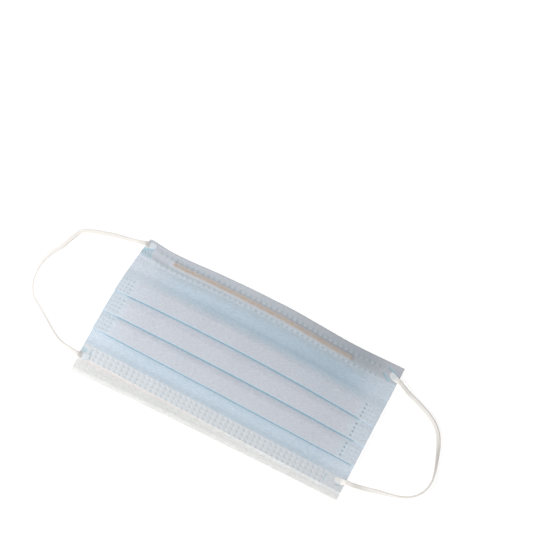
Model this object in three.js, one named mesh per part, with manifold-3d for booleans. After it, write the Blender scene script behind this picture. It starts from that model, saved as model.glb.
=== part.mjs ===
// A pleated surgical face mask, folded flat and lying with its blue face up, in millimetres.
// +X runs along the mask's width, +Y towards its nose edge and +Z up from the surface under it.
import * as THREE from 'three';
import Module from 'manifold-3d';

// The mask's outline and the thickness of its cloth
const maskWidth = 178;
const maskHeight = 96.6;
const leftCornerTuck = 3.6;
const leftBulgeHeight = -9;
const wall = 1;
const clearance = 0.3;

// Pleats: how far each fold overlaps, how much it lifts and how loosely its layers lie
const pleatDepth = 10.5;
const foldHeight = 1.6;
const pleatLoftHeight = 0.3;
const panelRampWidth = 7;
const foldSides = 6;

// The welded seams at both sides
const leftSeamWidth = 8;
const rightSeamWidth = 11;
const seamInset = 0.5;

// The white hem folded over the nose edge and the wire under it
const noseHemWidth = 12.5;
const hemRounding = 0.8;
const wireLength = 122;
const wireWidth = 3;
const wireThickness = 0.8;
const wireShift = -3.5;
const ridgeSlope = 1.2;
const ridgeRunOutLength = 4;
const noseWaveHeight = 3;

// The white hem under the chin edge: how much of it the panel covers, and its turned edge
const chinOverlapWidth = 8;
const chinRampWidth = 4;
const chinFoldWidth = 4.2;

// The elastic ear loops and their flattened ends
const cordDiameter = 2.5;
const cordSides = 8;
const cordStep = 5;
const loopEndLength = 8.2;
const loopEndWidth = 3.4;
const loopEndThickness = 1;
const loopEndOverhang = 1.2;
const cordLeadIn = 3;

// One row for each pleat, from the nose down. The places of its fold at the left seam, in the middle
// and at the right seam are shares of maskHeight up from the middle, and lift is a share of foldHeight.
const pleats = [
  { left: 0.086, middle: 0.085, right: 0.035, lift: 1 },
  { left: -0.064, middle: -0.071, right: -0.103, lift: 1 },
  { left: -0.196, middle: -0.218, right: -0.242, lift: 0 },
];

// The blue panel's lower edge and the chin edge as shares of maskHeight, and the wire's depth as shares of
// noseHemWidth
const panelEnd = { left: -0.385, middle: -0.407, right: -0.425 };
const chinEdge = { left: -0.5, middle: -0.484, right: -0.478 };
const wireInset = { left: 0.47, middle: 0.61, right: 0.64 };

// The nose edge's wave: across is a share of half the width, drop a share of noseWaveHeight
const noseEdgeRows = [
  { across: -1, drop: 0 },
  { across: -0.8, drop: 0.5 },
  { across: -0.24, drop: 0 },
  { across: 0, drop: 0 },
  { across: 0.7, drop: 0.97 },
  { across: 1, drop: 0.9 },
];

// Stations across the mask as shares of half the width; four more lie where the wire's channel runs out
const plainStations = [-1, -0.9, -0.8, -0.65, -0.5, -0.24, 0, 0.2, 0.36, 0.52, 0.7, 0.87, 1];
const stationSpacing = 0.03;

// Where each flattened end leaves the mask: up is a share of maskHeight, heading is in degrees from +X
const loopEnds = {
  noseLeft: { side: -1, up: 0.447, heading: 196 },
  chinLeft: { side: -1, up: -0.390, heading: 180 },
  noseRight: { side: 1, up: 0.370, heading: -25 },
  chinRight: { side: 1, up: -0.355, heading: 5 },
};

// The loops' routes between their lead-ins, chosen by hand: x, y and the height of the cord's underside
const leftRoute = [
  [-97.4, 41.3, 0.3],
  [-103.4, 40.4, 0.1],
  [-112.3, 38.0, 0.1],
  [-120.4, 35.4, 0.1],
  [-125.6, 32.2, 0.1],
  [-128.0, 27.2, 0.1],
  [-130.9, 18.6, 0.1],
  [-134.2, 12.6, 0.1],
  [-136.4, 6.4, 0.1],
  [-137.2, 0.1, 0.1],
  [-136.5, -6.5, 0.1],
  [-134.3, -13.0, 0.1],
  [-130.4, -18.3, 0.1],
  [-123.7, -22.9, 0.1],
  [-115.9, -28.0, 0.1],
  [-108.5, -32.9, 0.1],
  [-102.0, -36.0, 0.3],
];
const rightRoute = [
  [98.6, 32.2, 0.3],
  [103.6, 30.5, 0.1],
  [109.0, 28.3, 0.1],
  [114.4, 25.9, 0.1],
  [119.6, 22.6, 0.1],
  [123.7, 18.4, 0.1],
  [126.7, 13.4, 0.1],
  [129.0, 7.9, 0.1],
  [131.0, 2.1, 0.1],
  [132.7, -3.9, 0.1],
  [133.6, -9.8, 0.1],
  [132.9, -15.5, 0.1],
  [130.3, -20.5, 0.1],
  [126.3, -24.4, 0.1],
  [120.6, -27.2, 0.1],
  [113.6, -29.2, 0.1],
  [105.9, -30.9, 0.1],
  [99.5, -32.5, 0.3],
];

const colours = {
  blueCloth: { color: 0xb9cede, roughness: 0.85, metalness: 0 },
  whiteCloth: { color: 0xe9e8e6, roughness: 0.85, metalness: 0 },
  coatedWire: { color: 0xcbb39a, roughness: 0.5, metalness: 0.1 },
  elastic: { color: 0xefece6, roughness: 0.9, metalness: 0 },
};

const halfWidth = maskWidth / 2;
const halfHeight = maskHeight / 2;
const flapLevel = wall + clearance;
const loopEndLevel = flapLevel + wall + clearance;
const channelReach = wireLength / 2 + clearance;
const channelEnd = channelReach + ridgeRunOutLength;
const channelStations = [-channelEnd, -channelReach, channelReach, channelEnd]
  .map((place) => (wireShift + place) / halfWidth);
const stations = plainStations
  .filter((share) => channelStations.every((place) => Math.abs(place - share) > stationSpacing))
  .concat(channelStations)
  .sort((first, second) => first - second);
const part = new THREE.Group();

const wasm = await Module();
wasm.setup();

// A length that runs through three places, given at the left seam, the middle and the right seam
function between(row, share) {
  const slope = (row.right - row.left) / 2;
  const curve = (row.right + row.left) / 2 - row.middle;
  return row.middle + slope * share + curve * share * share;
}

// How far a height lies from the left seam's bulge: 0 in its middle and 1 at the nose edge
function cornerShare(y) {
  return Math.min(1, (Math.abs(y - leftBulgeHeight) / (halfHeight - leftBulgeHeight)) ** 3);
}

// The place across the mask of a share of its width, at a height; the left seam bulges between its corners
function across(share, y) {
  const left = -halfWidth + leftCornerTuck * cornerShare(y);
  return left + ((halfWidth - left) * (share + 1)) / 2;
}

// The nose edge's height at a share of the width, smooth between the wave's rows
function noseEdge(share) {
  const next = Math.max(1, noseEdgeRows.findIndex((row) => row.across >= share));
  const from = noseEdgeRows[next - 1];
  const to = noseEdgeRows[next];
  const along = (share - from.across) / (to.across - from.across);
  const eased = along * along * (3 - 2 * along);
  return halfHeight - noseWaveHeight * (from.drop + (to.drop - from.drop) * eased);
}

// The distance between two folded layers: tight at the welded seams and a little looser between them
function layerStep(share) {
  return wall + clearance + pleatLoftHeight * (1 - share * share);
}

// Points of a half turn about a fold's centre, from its upper to its lower layer, bulging to +Y or -Y
function foldTurn(centreY, centreZ, radius, facing) {
  const points = [];
  for (let index = 0; index <= foldSides; index += 1) {
    const turned = (Math.PI * index) / foldSides;
    points.push([centreY + facing * radius * Math.sin(turned), centreZ + radius * Math.cos(turned)]);
  }
  return points;
}

// The panel's path from nose to chin through the middle of its cloth, as [y, z] points
function panelPath(share) {
  const step = layerStep(share);
  const turn = step / 2;
  const reach = turn + wall / 2;
  const base = wall / 2;
  const endLevel = base + flapLevel;
  const lowerEdge = between(panelEnd, share) * maskHeight;
  const path = [[noseEdge(share) - wall - clearance, base]];
  pleats.forEach((pleat, index) => {
    const fold = between(pleat, share) * maskHeight;
    const inner = fold + pleatDepth;
    const lift = foldHeight * pleat.lift;
    if (index === 0) {
      path.push([inner + panelRampWidth, base]);
    }
    path.push([inner, base + 2 * step]);
    path.push(...foldTurn(fold + reach, base + lift + 1.5 * step, turn, -1));
    path.push(...foldTurn(inner - reach, base + 0.5 * step, turn, 1));
    path.push([fold + reach, base + lift]);
  });
  path.push([lowerEdge + chinOverlapWidth + chinRampWidth, base]);
  path.push([lowerEdge + chinOverlapWidth, endLevel]);
  path.push([lowerEdge, endLevel]);
  return path;
}

// The closed outline of a strip of cloth that follows a path, half its thickness to either side
function thicken(path, thickness) {
  const points = path.map(([y, z]) => new THREE.Vector2(y, z));
  const near = [];
  const far = [];
  points.forEach((point, index) => {
    const before = points[Math.max(0, index - 1)];
    const after = points[Math.min(points.length - 1, index + 1)];
    const arriving = index > 0 ? point.clone().sub(before).normalize() : after.clone().sub(point).normalize();
    const leaving = index < points.length - 1 ? after.clone().sub(point).normalize() : arriving.clone();
    const along = arriving.clone().add(leaving).normalize();
    const half = thickness / 2 / Math.max(0.5, along.dot(arriving));
    near.push([point.x - along.y * half, point.y + along.x * half]);
    far.push([point.x + along.y * half, point.y - along.x * half]);
  });
  return [...far, ...near.reverse()];
}

// Points of a rounded corner, from one angle to another in degrees
function corner(centreY, centreZ, radius, fromAngle, toAngle) {
  return [0, 1, 2].map((index) => {
    const angle = THREE.MathUtils.degToRad(fromAngle + ((toAngle - fromAngle) * index) / 2);
    return [centreY + radius * Math.cos(angle), centreZ + radius * Math.sin(angle)];
  });
}

// A closed solid through one outline of [y, z] points at each station across the mask
function loft(shares, outlineAt) {
  const outlines = shares.map((share) => {
    const outline = outlineAt(share).map(([y, z]) => new THREE.Vector2(y, z));
    return THREE.ShapeUtils.isClockWise(outline) ? outline.reverse() : outline;
  });
  const size = outlines[0].length;
  const places = [];
  outlines.forEach((outline, index) => {
    outline.forEach((point) => places.push(across(shares[index], point.x), point.x, point.y));
  });
  const faces = [];
  for (let ring = 0; ring < shares.length - 1; ring += 1) {
    for (let index = 0; index < size; index += 1) {
      const next = (index + 1) % size;
      const start = ring * size;
      const end = start + size;
      faces.push(start + index, start + next, end + next, start + index, end + next, end + index);
    }
  }
  const last = (shares.length - 1) * size;
  THREE.ShapeUtils.triangulateShape(outlines[0], []).forEach(([a, b, c]) => faces.push(a, c, b));
  THREE.ShapeUtils.triangulateShape(outlines.at(-1), []).forEach(([a, b, c]) => {
    faces.push(last + a, last + b, last + c);
  });
  const geometry = new THREE.BufferGeometry();
  geometry.setAttribute('position', new THREE.Float32BufferAttribute(places, 3));
  geometry.setIndex(faces);
  return geometry;
}

function toManifold(geometry) {
  return new wasm.Manifold(new wasm.Mesh({
    numProp: 3,
    vertProperties: geometry.getAttribute('position').array,
    triVerts: Uint32Array.from(geometry.getIndex().array),
  }));
}

function fromManifold(solid) {
  const mesh = solid.getMesh();
  const geometry = new THREE.BufferGeometry();
  geometry.setAttribute('position', new THREE.Float32BufferAttribute(mesh.vertProperties, 3));
  geometry.setIndex(Array.from(mesh.triVerts));
  return geometry;
}

function addMesh(name, geometry, colour) {
  geometry.computeVertexNormals();
  const mesh = new THREE.Mesh(geometry, new THREE.MeshStandardMaterial(colour));
  mesh.name = name;
  part.add(mesh);
  return mesh;
}

// The block of melted cloth that joins one pleat's layers in one side seam
function seamWeld(pleat, fromShare, toShare) {
  return loft([fromShare, toShare], (share) => {
    const step = layerStep(share);
    const reach = step / 2 + wall / 2;
    const low = between(pleat, share) * maskHeight + reach;
    const high = low - reach + pleatDepth - reach;
    const base = wall / 2;
    const lift = foldHeight * pleat.lift;
    return [[low, base + lift], [high, base], [high, base + 2 * step], [low, base + lift + 2 * step]];
  });
}

// The three bonded plies, pleated and welded at both sides
function addPanel() {
  const leftSeam = leftSeamWidth / halfWidth;
  const rightSeam = rightSeamWidth / halfWidth;
  const inset = seamInset / halfWidth;
  let solid = toManifold(loft(stations, (share) => thicken(panelPath(share), wall)));
  pleats.forEach((pleat) => {
    solid = solid.add(toManifold(seamWeld(pleat, -1 + inset, -1 + leftSeam)));
    solid = solid.add(toManifold(seamWeld(pleat, 1 - rightSeam, 1 - inset)));
  });
  addMesh('pleated_panel', fromManifold(solid), colours.blueCloth);
}

// The height of the wire's middle at a share of half the mask's width; past its ends it follows the nose edge
function wireHeight(share) {
  const along = (share * halfWidth - wireShift) / (wireLength / 2);
  return noseEdge(share) - between(wireInset, THREE.MathUtils.clamp(along, -1, 1)) * noseHemWidth;
}

// The white hem: a flap over the front with a channel for the wire, and the cloth turned over the edge
function addNoseHem() {
  const half = wireWidth / 2 + clearance;
  const top = flapLevel + wall;
  const outlineAt = (share) => {
    const outer = noseEdge(share);
    const wire = wireHeight(share);
    const past = Math.max(0, Math.abs(share * halfWidth - wireShift) - channelReach);
    const ridge = (wireThickness + clearance) * Math.max(0, 1 - past / ridgeRunOutLength);
    return [
      [outer, 0],
      ...corner(outer - hemRounding, top - hemRounding, hemRounding, 0, 90),
      [wire + half + ridgeSlope, top],
      [wire + half, top + ridge],
      [wire - half, top + ridge],
      [wire - half - ridgeSlope, top],
      [outer - noseHemWidth, top],
      [outer - noseHemWidth, flapLevel],
      [wire - half - ridgeSlope, flapLevel],
      [wire - half, flapLevel + ridge],
      [wire + half, flapLevel + ridge],
      [wire + half + ridgeSlope, flapLevel],
      [outer - wall, flapLevel],
      [outer - wall, 0],
    ];
  };
  addMesh('nose_hem', loft(stations, outlineAt), colours.whiteCloth);
}

// The flat bendable wire in the nose hem's channel
function addNoseWire() {
  const shares = [-1, -0.6, -0.2, 0.2, 0.6, 1]
    .map((along) => (wireShift + (along * wireLength) / 2) / halfWidth);
  const outlineAt = (share) => {
    const low = wireHeight(share) - wireWidth / 2;
    const high = low + wireWidth;
    const top = flapLevel + wireThickness;
    return [[low, flapLevel], [high, flapLevel], [high, top], [low, top]];
  };
  addMesh('nose_wire', loft(shares, outlineAt), colours.coatedWire);
}

// The white hem that the panel's lower edge lies on, turned back on itself along the chin edge
function addChinHem() {
  const outlineAt = (share) => {
    const upper = between(panelEnd, share) * maskHeight + chinOverlapWidth - clearance;
    const top = 2 * wall;
    const edge = between(chinEdge, share) * maskHeight;
    return [
      [upper, 0],
      [upper, wall],
      [edge + chinFoldWidth, wall],
      [edge + chinFoldWidth, top],
      ...corner(edge + hemRounding, top - hemRounding, hemRounding, 90, 180),
      ...corner(edge + hemRounding, hemRounding, hemRounding, 180, 270),
    ];
  };
  addMesh('chin_hem', loft(stations, outlineAt), colours.whiteCloth);
}

// Where a flattened end's outer face lies, and the direction in which its cord leaves
function loopExit(end) {
  const y = end.up * maskHeight;
  const place = new THREE.Vector3(across(end.side, y) + end.side * loopEndOverhang, y, 0);
  place.z = loopEndLevel + loopEndThickness / 2;
  const heading = THREE.MathUtils.degToRad(end.heading);
  return { place, direction: new THREE.Vector3(Math.cos(heading), Math.sin(heading), 0) };
}

// One cord end, pressed flat and welded on the front of the mask
function addLoopEnd(name, end) {
  const { place } = loopExit(end);
  const half = loopEndWidth / 2;
  const rounding = half / 2;
  const shape = new THREE.Shape();
  shape.moveTo(0, -half);
  shape.lineTo(0, half);
  shape.lineTo(-loopEndLength + rounding, half);
  shape.quadraticCurveTo(-loopEndLength, half, -loopEndLength, half - rounding);
  shape.lineTo(-loopEndLength, rounding - half);
  shape.quadraticCurveTo(-loopEndLength, -half, rounding - loopEndLength, -half);
  shape.closePath();
  const options = { depth: loopEndThickness, bevelEnabled: false, curveSegments: 3 };
  const mesh = addMesh(name, new THREE.ExtrudeGeometry(shape, options), colours.elastic);
  mesh.rotation.z = THREE.MathUtils.degToRad(end.heading);
  mesh.position.set(place.x, place.y, loopEndLevel);
}

// One elastic ear loop, from the end at the nose round to the end at the chin
function addEarLoop(name, noseEnd, chinEnd, route) {
  const leadIn = (exit, distance) => exit.place.clone().addScaledVector(exit.direction, distance);
  const start = loopExit(noseEnd);
  const finish = loopExit(chinEnd);
  const path = new THREE.CatmullRomCurve3([
    leadIn(start, clearance),
    leadIn(start, clearance + cordLeadIn),
    ...route.map(([x, y, z]) => new THREE.Vector3(x, y, z + cordDiameter / 2)),
    leadIn(finish, clearance + cordLeadIn),
    leadIn(finish, clearance),
  ], false, 'centripetal');
  const section = new THREE.Shape();
  for (let index = 0; index < cordSides; index += 1) {
    const angle = (2 * Math.PI * (index + 0.5)) / cordSides;
    const place = [(cordDiameter / 2) * Math.cos(angle), (cordDiameter / 2) * Math.sin(angle)];
    if (index === 0) {
      section.moveTo(...place);
    } else {
      section.lineTo(...place);
    }
  }
  section.closePath();
  const steps = Math.round(path.getLength() / cordStep);
  const options = { steps, extrudePath: path, bevelEnabled: false };
  addMesh(name, new THREE.ExtrudeGeometry(section, options), colours.elastic);
}

addPanel();
addNoseHem();
addNoseWire();
addChinHem();
addLoopEnd('loop_end_nose_left', loopEnds.noseLeft);
addLoopEnd('loop_end_chin_left', loopEnds.chinLeft);
addLoopEnd('loop_end_nose_right', loopEnds.noseRight);
addLoopEnd('loop_end_chin_right', loopEnds.chinRight);
addEarLoop('ear_loop_left', loopEnds.noseLeft, loopEnds.chinLeft, leftRoute);
addEarLoop('ear_loop_right', loopEnds.noseRight, loopEnds.chinRight, rightRoute);

export default part;
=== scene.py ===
"""A pleated surgical face mask, folded flat with its blue face up and its ear loops laid out."""

import logging
import math
from abc import ABC, abstractmethod
from collections.abc import Sequence
from dataclasses import dataclass, field
from enum import Enum

import bpy
import numpy as np
from mathutils import Matrix, Vector


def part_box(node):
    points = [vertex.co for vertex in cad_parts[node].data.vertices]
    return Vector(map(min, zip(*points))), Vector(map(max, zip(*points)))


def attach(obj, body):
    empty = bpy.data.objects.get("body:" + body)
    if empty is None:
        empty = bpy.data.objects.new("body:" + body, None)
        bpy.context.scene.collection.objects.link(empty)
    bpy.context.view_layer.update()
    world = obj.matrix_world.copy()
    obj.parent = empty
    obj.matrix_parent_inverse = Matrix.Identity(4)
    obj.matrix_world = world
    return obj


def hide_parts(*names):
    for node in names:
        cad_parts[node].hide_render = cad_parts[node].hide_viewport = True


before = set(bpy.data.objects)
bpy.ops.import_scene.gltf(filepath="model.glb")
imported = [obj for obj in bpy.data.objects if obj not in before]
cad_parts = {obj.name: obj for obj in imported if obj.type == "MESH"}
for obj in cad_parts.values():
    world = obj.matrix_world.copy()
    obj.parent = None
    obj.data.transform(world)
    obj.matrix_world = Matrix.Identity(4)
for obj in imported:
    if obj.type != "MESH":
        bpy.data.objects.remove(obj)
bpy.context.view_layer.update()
LOG = logging.getLogger("face_mask")
MM = 0.001
BODY = "root"
SHARP_ANGLE = math.radians(60)
STEPS_PER_SPAN = 40

Array = np.ndarray
Span = tuple[float, float]
Place = tuple[float, float, float]
Spot = tuple[float | Array, float | Array]
NumberedRow = tuple[Array, Array]
Face = tuple[int, ...]
Colour = tuple[float, float, float, float]
Tint = tuple[str, float, Colour]


class Slot(Enum):
    """The finishes that the pieces take."""

    BLUE_CLOTH = "blue_cloth"
    WHITE_CLOTH = "white_cloth"
    COATED_WIRE = "coated_wire"
    ELASTIC = "elastic"


class RowKind(Enum):
    """What a row of the cloth's mesh belongs to, from the nose edge down."""

    UNDER_HEM = 0
    SINGLE = 1
    TOP_LAYER = 2
    FOLD = 3
    HIDDEN = 4
    CHIN_BAND = 5
    HEM_FLAP = 6
    HEM_EDGE = 7


def smooth_step(value: Array, low: float, high: float) -> Array:
    """Eases from 0 at low to 1 at high."""
    share = np.clip((value - low) / (high - low), 0.0, 1.0)
    return share * share * (3.0 - 2.0 * share)


def centripetal_curve(points: Sequence[Sequence[float]], spacing: float) -> Array:
    """Runs a centripetal Catmull-Rom curve through points.

    Args:
        points: The places that the curve passes, in metres.
        spacing: The distance between the returned points, in metres.

    Returns:
        Evenly spaced points along the curve, one row each.
    """
    fixed = np.array(points, float)
    padded = np.vstack([2 * fixed[0] - fixed[1], fixed, 2 * fixed[-1] - fixed[-2]])
    dense = []
    for before, start, end, after in zip(padded[:-3], padded[1:-2], padded[2:-1], padded[3:]):
        gaps = [math.sqrt(np.linalg.norm(b - a)) for a, b in ((before, start), (start, end), (end, after))]
        leave = (start - before) / gaps[0] - (end - before) / (gaps[0] + gaps[1]) + (end - start) / gaps[1]
        arrive = (end - start) / gaps[1] - (after - start) / (gaps[1] + gaps[2]) + (after - end) / gaps[2]
        leave, arrive = leave * gaps[1], arrive * gaps[1]
        along = np.linspace(0.0, 1.0, STEPS_PER_SPAN, endpoint=False)[:, None]
        square = -3 * start + 3 * end - 2 * leave - arrive
        cube = 2 * start - 2 * end + leave + arrive
        dense.append(start + leave * along + square * along**2 + cube * along**3)
    line = np.vstack([*dense, fixed[-1:]])
    travelled = np.concatenate([[0.0], np.cumsum(np.linalg.norm(np.diff(line, axis=0), axis=1))])
    count = max(2, round(travelled[-1] / spacing)) + 1
    places = np.linspace(0.0, travelled[-1], count)
    return np.column_stack([np.interp(places, travelled, line[:, axis]) for axis in range(3)])


@dataclass(frozen=True)
class SkewRow:
    """A length that changes across the mask, given at the left seam, the middle and the right seam."""

    left: float
    middle: float
    right: float

    def at(self, share: Array) -> Array:
        """Gives the length at shares of half the width, on a curve through the three.

        Args:
            share: The stations, as shares of half the width.

        Returns:
            The length at each station.
        """
        slope = (self.right - self.left) / 2
        curve = (self.right + self.left) / 2 - self.middle
        return self.middle + slope * share + curve * share * share


@dataclass(frozen=True)
class MaskPlan:
    """The mask's outline and the places of its folds and hems, in metres."""

    width: float
    height: float
    left_tuck: float = 3.6 * MM
    left_bulge: float = -9.0 * MM
    nose_wave: float = 3.0 * MM
    pleat_depth: float = 10.5 * MM
    nose_hem_width: float = 12.5 * MM
    chin_overlap: float = 8.0 * MM
    chin_ramp: float = 4.0 * MM
    chin_fold: float = 4.2 * MM
    wire_shift: float = -3.5 * MM
    left_seam: float = 8.0 * MM
    right_seam: float = 11.0 * MM
    fine_margins: Span = (1 * MM, 1.5 * MM)
    folds: tuple[SkewRow, ...] = (
        SkewRow(0.086, 0.085, 0.035),
        SkewRow(-0.064, -0.071, -0.103),
        SkewRow(-0.196, -0.218, -0.242),
    )
    panel_end: SkewRow = SkewRow(-0.385, -0.407, -0.425)
    chin_edge: SkewRow = SkewRow(-0.5, -0.484, -0.478)
    wire_inset: SkewRow = SkewRow(0.54, 0.66, 0.69)
    wave_across: tuple[float, ...] = (-1.0, -0.8, -0.24, 0.0, 0.7, 1.0)
    wave_drop: tuple[float, ...] = (0.0, 0.5, 0.0, 0.0, 0.97, 0.9)
    # Painted light at the mask's ends, stronger at the left end.
    light_left: Span = (-6 * MM, 40 * MM)
    light_left_share: float = 0.84
    light_right: Span = (-24 * MM, -3 * MM)
    # Painted shade above the pleats, stronger towards the right but not at its end.
    shade_rise: Span = (-45 * MM, 62 * MM)
    shade_shares: Span = (0.25, 0.9)
    shade_fall: Span = (45 * MM, 82 * MM)
    shade_loss: float = 0.7
    seam_blur: float = 5 * MM

    @classmethod
    def from_frame(cls) -> "MaskPlan":
        """Takes the mask's overall size from the CAD nodes.

        Returns:
            The plan with the width and height of the solids.
        """
        panel_low, panel_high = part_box("pleated_panel")
        chin_low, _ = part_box("chin_hem")
        _, nose_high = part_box("nose_hem")
        return cls(width=panel_high.x - panel_low.x, height=nose_high.y - chin_low.y)

    @property
    def half_width(self) -> float:
        """Half the width across the seams."""
        return self.width / 2

    @property
    def wire_half(self) -> float:
        """Half the wire's length, from its CAD node."""
        low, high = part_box("nose_wire")
        return (high.x - low.x) / 2

    def across(self, share: Array, y: Array) -> Array:
        """Places a share of half the width at a height, with the left seam bulging between its corners.

        Args:
            share: The stations, as shares of half the width.
            y: The heights of the places.

        Returns:
            The places across the mask, in metres.
        """
        reach = self.height / 2 - self.left_bulge
        corner = np.minimum(1.0, (np.abs(y - self.left_bulge) / reach) ** 3)
        left = -self.half_width + self.left_tuck * corner
        return left + (self.half_width - left) * (share + 1) / 2

    def nose_edge(self, share: Array) -> Array:
        """Gives the height of the wavy nose edge at shares of half the width.

        Args:
            share: The stations, as shares of half the width.

        Returns:
            The height of the edge at each station.
        """
        drop = np.zeros_like(share)
        stops = list(zip(self.wave_across, self.wave_drop))
        for (start, before), (end, after) in zip(stops[:-1], stops[1:]):
            inside = (share >= start) & (share <= end)
            eased = smooth_step(share, start, end)
            drop = np.where(inside, before + (after - before) * eased, drop)
        return self.height / 2 - self.nose_wave * drop

    def fold(self, index: int, share: Array) -> Array:
        """Gives the height of a pleat's visible fold."""
        return self.folds[index].at(share) * self.height

    def lower_edge(self, share: Array) -> Array:
        """Gives the height of the blue panel's lower edge."""
        return self.panel_end.at(share) * self.height

    def lowest_edge(self, share: Array) -> Array:
        """Gives the height of the chin hem's turned edge."""
        return self.chin_edge.at(share) * self.height

    def wire_height(self, share: Array) -> Array:
        """Gives the height of the wire's middle; past its ends it follows the nose edge."""
        along = np.clip((share * self.half_width - self.wire_shift) / self.wire_half, -1.0, 1.0)
        return self.nose_edge(share) - self.wire_inset.at(along) * self.nose_hem_width

    def painted_light_share(self, x: Array) -> Array:
        """Tells how far light is painted on the cloth, up to 1 at the mask's ends, which are painted lighter
        because they are brighter lit and more light passes through them.

        Args:
            x: The places across the mask.

        Returns:
            A share from 0 to 1 for each place.
        """
        left = self.light_left_share * (1 - smooth_step(x + self.half_width, *self.light_left))
        right = smooth_step(x - self.half_width, *self.light_right)
        return np.maximum(left, right)

    def painted_shade_share(self, x: Array) -> Array:
        """Tells how strongly shade is painted above the pleats, more towards the right but not at its end.

        Args:
            x: The places across the mask.

        Returns:
            A share from 0 to 1 for each place.
        """
        least, most = self.shade_shares
        rise = least + (most - least) * smooth_step(x, *self.shade_rise)
        return rise * (1 - self.shade_loss * smooth_step(x, *self.shade_fall))

    def seam_share(self, x: Array) -> Array:
        """Tells how far a place lies in the welded side seams: 0 on the open cloth and 1 in a seam.

        Args:
            x: The places across the mask.

        Returns:
            A share from 0 to 1 for each place.
        """
        left_line, right_line = self.half_width - self.left_seam, self.half_width - self.right_seam
        left = smooth_step(-x, left_line - self.seam_blur, left_line)
        right = smooth_step(x, right_line - self.seam_blur, right_line)
        return np.maximum(left, right)


@dataclass(frozen=True)
class Ripples:
    """The soft waves that thin cloth keeps after folding, the same for all of its layers."""

    height: float = 0.32 * MM
    waves: int = 9
    shortest: float = 22 * MM
    longest: float = 70 * MM
    widest_turn: float = 0.5
    height_weight: float = 1.6
    seed: int = 11

    def lift(self, x: Array, y: Array) -> Array:
        """Gives the upward shift of the cloth at places on the mask, never below 0.

        Args:
            x: The places across the mask.
            y: Their heights.

        Returns:
            The upward shift of each place, in metres.
        """
        draw = np.random.default_rng(self.seed)
        total = np.zeros_like(x)
        for _ in range(self.waves):
            length = draw.uniform(self.shortest, self.longest)
            turn = draw.uniform(-self.widest_turn, self.widest_turn)
            phase = draw.uniform(0.0, 2 * math.pi)
            along = x * math.cos(turn) + self.height_weight * y * math.sin(turn)
            total = total + np.sin(2 * math.pi * along / length + phase)
        return self.height * (0.5 + 0.5 * np.tanh(total / math.sqrt(self.waves)))


@dataclass
class PathRows:
    """One strip of cloth cut across: rows of places along its path, for each station across the mask."""

    shares: Array
    heights: list[Array] = field(default_factory=list)
    levels: list[Array] = field(default_factory=list)
    kinds: list[RowKind] = field(default_factory=list)
    angles: list[float] = field(default_factory=list)

    def spread(self, value: float | Array) -> Array:
        """Makes a value into one for each station."""
        return np.broadcast_to(np.asarray(value, float), self.shares.shape)

    def line(self, start: Spot, end: Spot, count: int, kind: RowKind, last: bool = False) -> None:
        """Adds evenly spaced rows from start to end.

        Args:
            start: The height and level where the rows begin.
            end: The height and level where they end.
            count: How many gaps lie between the two.
            kind: What the rows belong to.
            last: Whether the row at the end is added too.
        """
        start_y, start_z, end_y, end_z = (self.spread(value) for value in (*start, *end))
        for index in range(count + (1 if last else 0)):
            along = index / count
            self.heights.append(start_y + (end_y - start_y) * along)
            self.levels.append(start_z + (end_z - start_z) * along)
            self.kinds.append(kind)
            self.angles.append(0.0)

    def turn(
        self, centre: Spot, radius: float | Array, start: float, end: float, count: int, kind: RowKind
    ) -> None:
        """Adds rows round an arc, from one angle to another in degrees, without the row at its end.

        Args:
            centre: The height and level of the arc's middle.
            radius: Its radius at each station.
            start: The angle of the first row, in degrees.
            end: The angle where the next stretch begins.
            count: How many rows are added.
            kind: What they belong to.
        """
        centre_y, centre_z, radius = (self.spread(value) for value in (*centre, radius))
        for index in range(count):
            degrees = start + (end - start) * index / count
            angle = math.radians(degrees)
            self.heights.append(centre_y + radius * math.cos(angle))
            self.levels.append(centre_z + radius * math.sin(angle))
            self.kinds.append(kind)
            self.angles.append(degrees)

    def are(self, *kinds: RowKind) -> Array:
        """Tells which rows are of the given kinds."""
        return np.array([kind in kinds for kind in self.kinds])[:, None]

    def grid(self, soften: int) -> tuple[Array, Array]:
        """Gives all rows as two arrays, with the knees between straight stretches rounded off.

        Args:
            soften: How many times each straight row is averaged with its neighbours.

        Returns:
            The heights and the levels, one row for each place along the path.
        """
        y, z = np.array(self.heights), np.array(self.levels)
        loose = np.array([kind not in (RowKind.FOLD, RowKind.HEM_EDGE) for kind in self.kinds])
        loose[[0, -1]] = False
        for _ in range(soften):
            z[1:-1] = np.where(loose[1:-1, None], (z[:-2] + 2 * z[1:-1] + z[2:]) / 4, z[1:-1])
        return y, z


@dataclass
class Surface:
    """The front of the cloth: how far it is raised, and the marks that its colour reads."""

    raised: Array
    marks: dict[str, Array]


def station_shares(plan: MaskPlan, spacing: float, seam_spacing: float) -> Array:
    """Chooses the stations across the mask.

    Args:
        plan: The mask's outline.
        spacing: The distance between stations on the open cloth.
        seam_spacing: The distance between stations in the side seams.

    Returns:
        Shares of half the width from -1 to 1.
    """
    left = -plan.half_width + plan.left_seam + plan.fine_margins[0]
    right = plan.half_width - plan.right_seam - plan.fine_margins[1]
    stretches = (
        (-plan.half_width, left, seam_spacing),
        (left, right, spacing),
        (right, plan.half_width, seam_spacing),
    )
    places = [
        np.linspace(start, end, max(1, round((end - start) / step)), endpoint=False)
        for start, end, step in stretches
    ]
    return np.concatenate([*places, [plan.half_width]]) / plan.half_width


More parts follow.
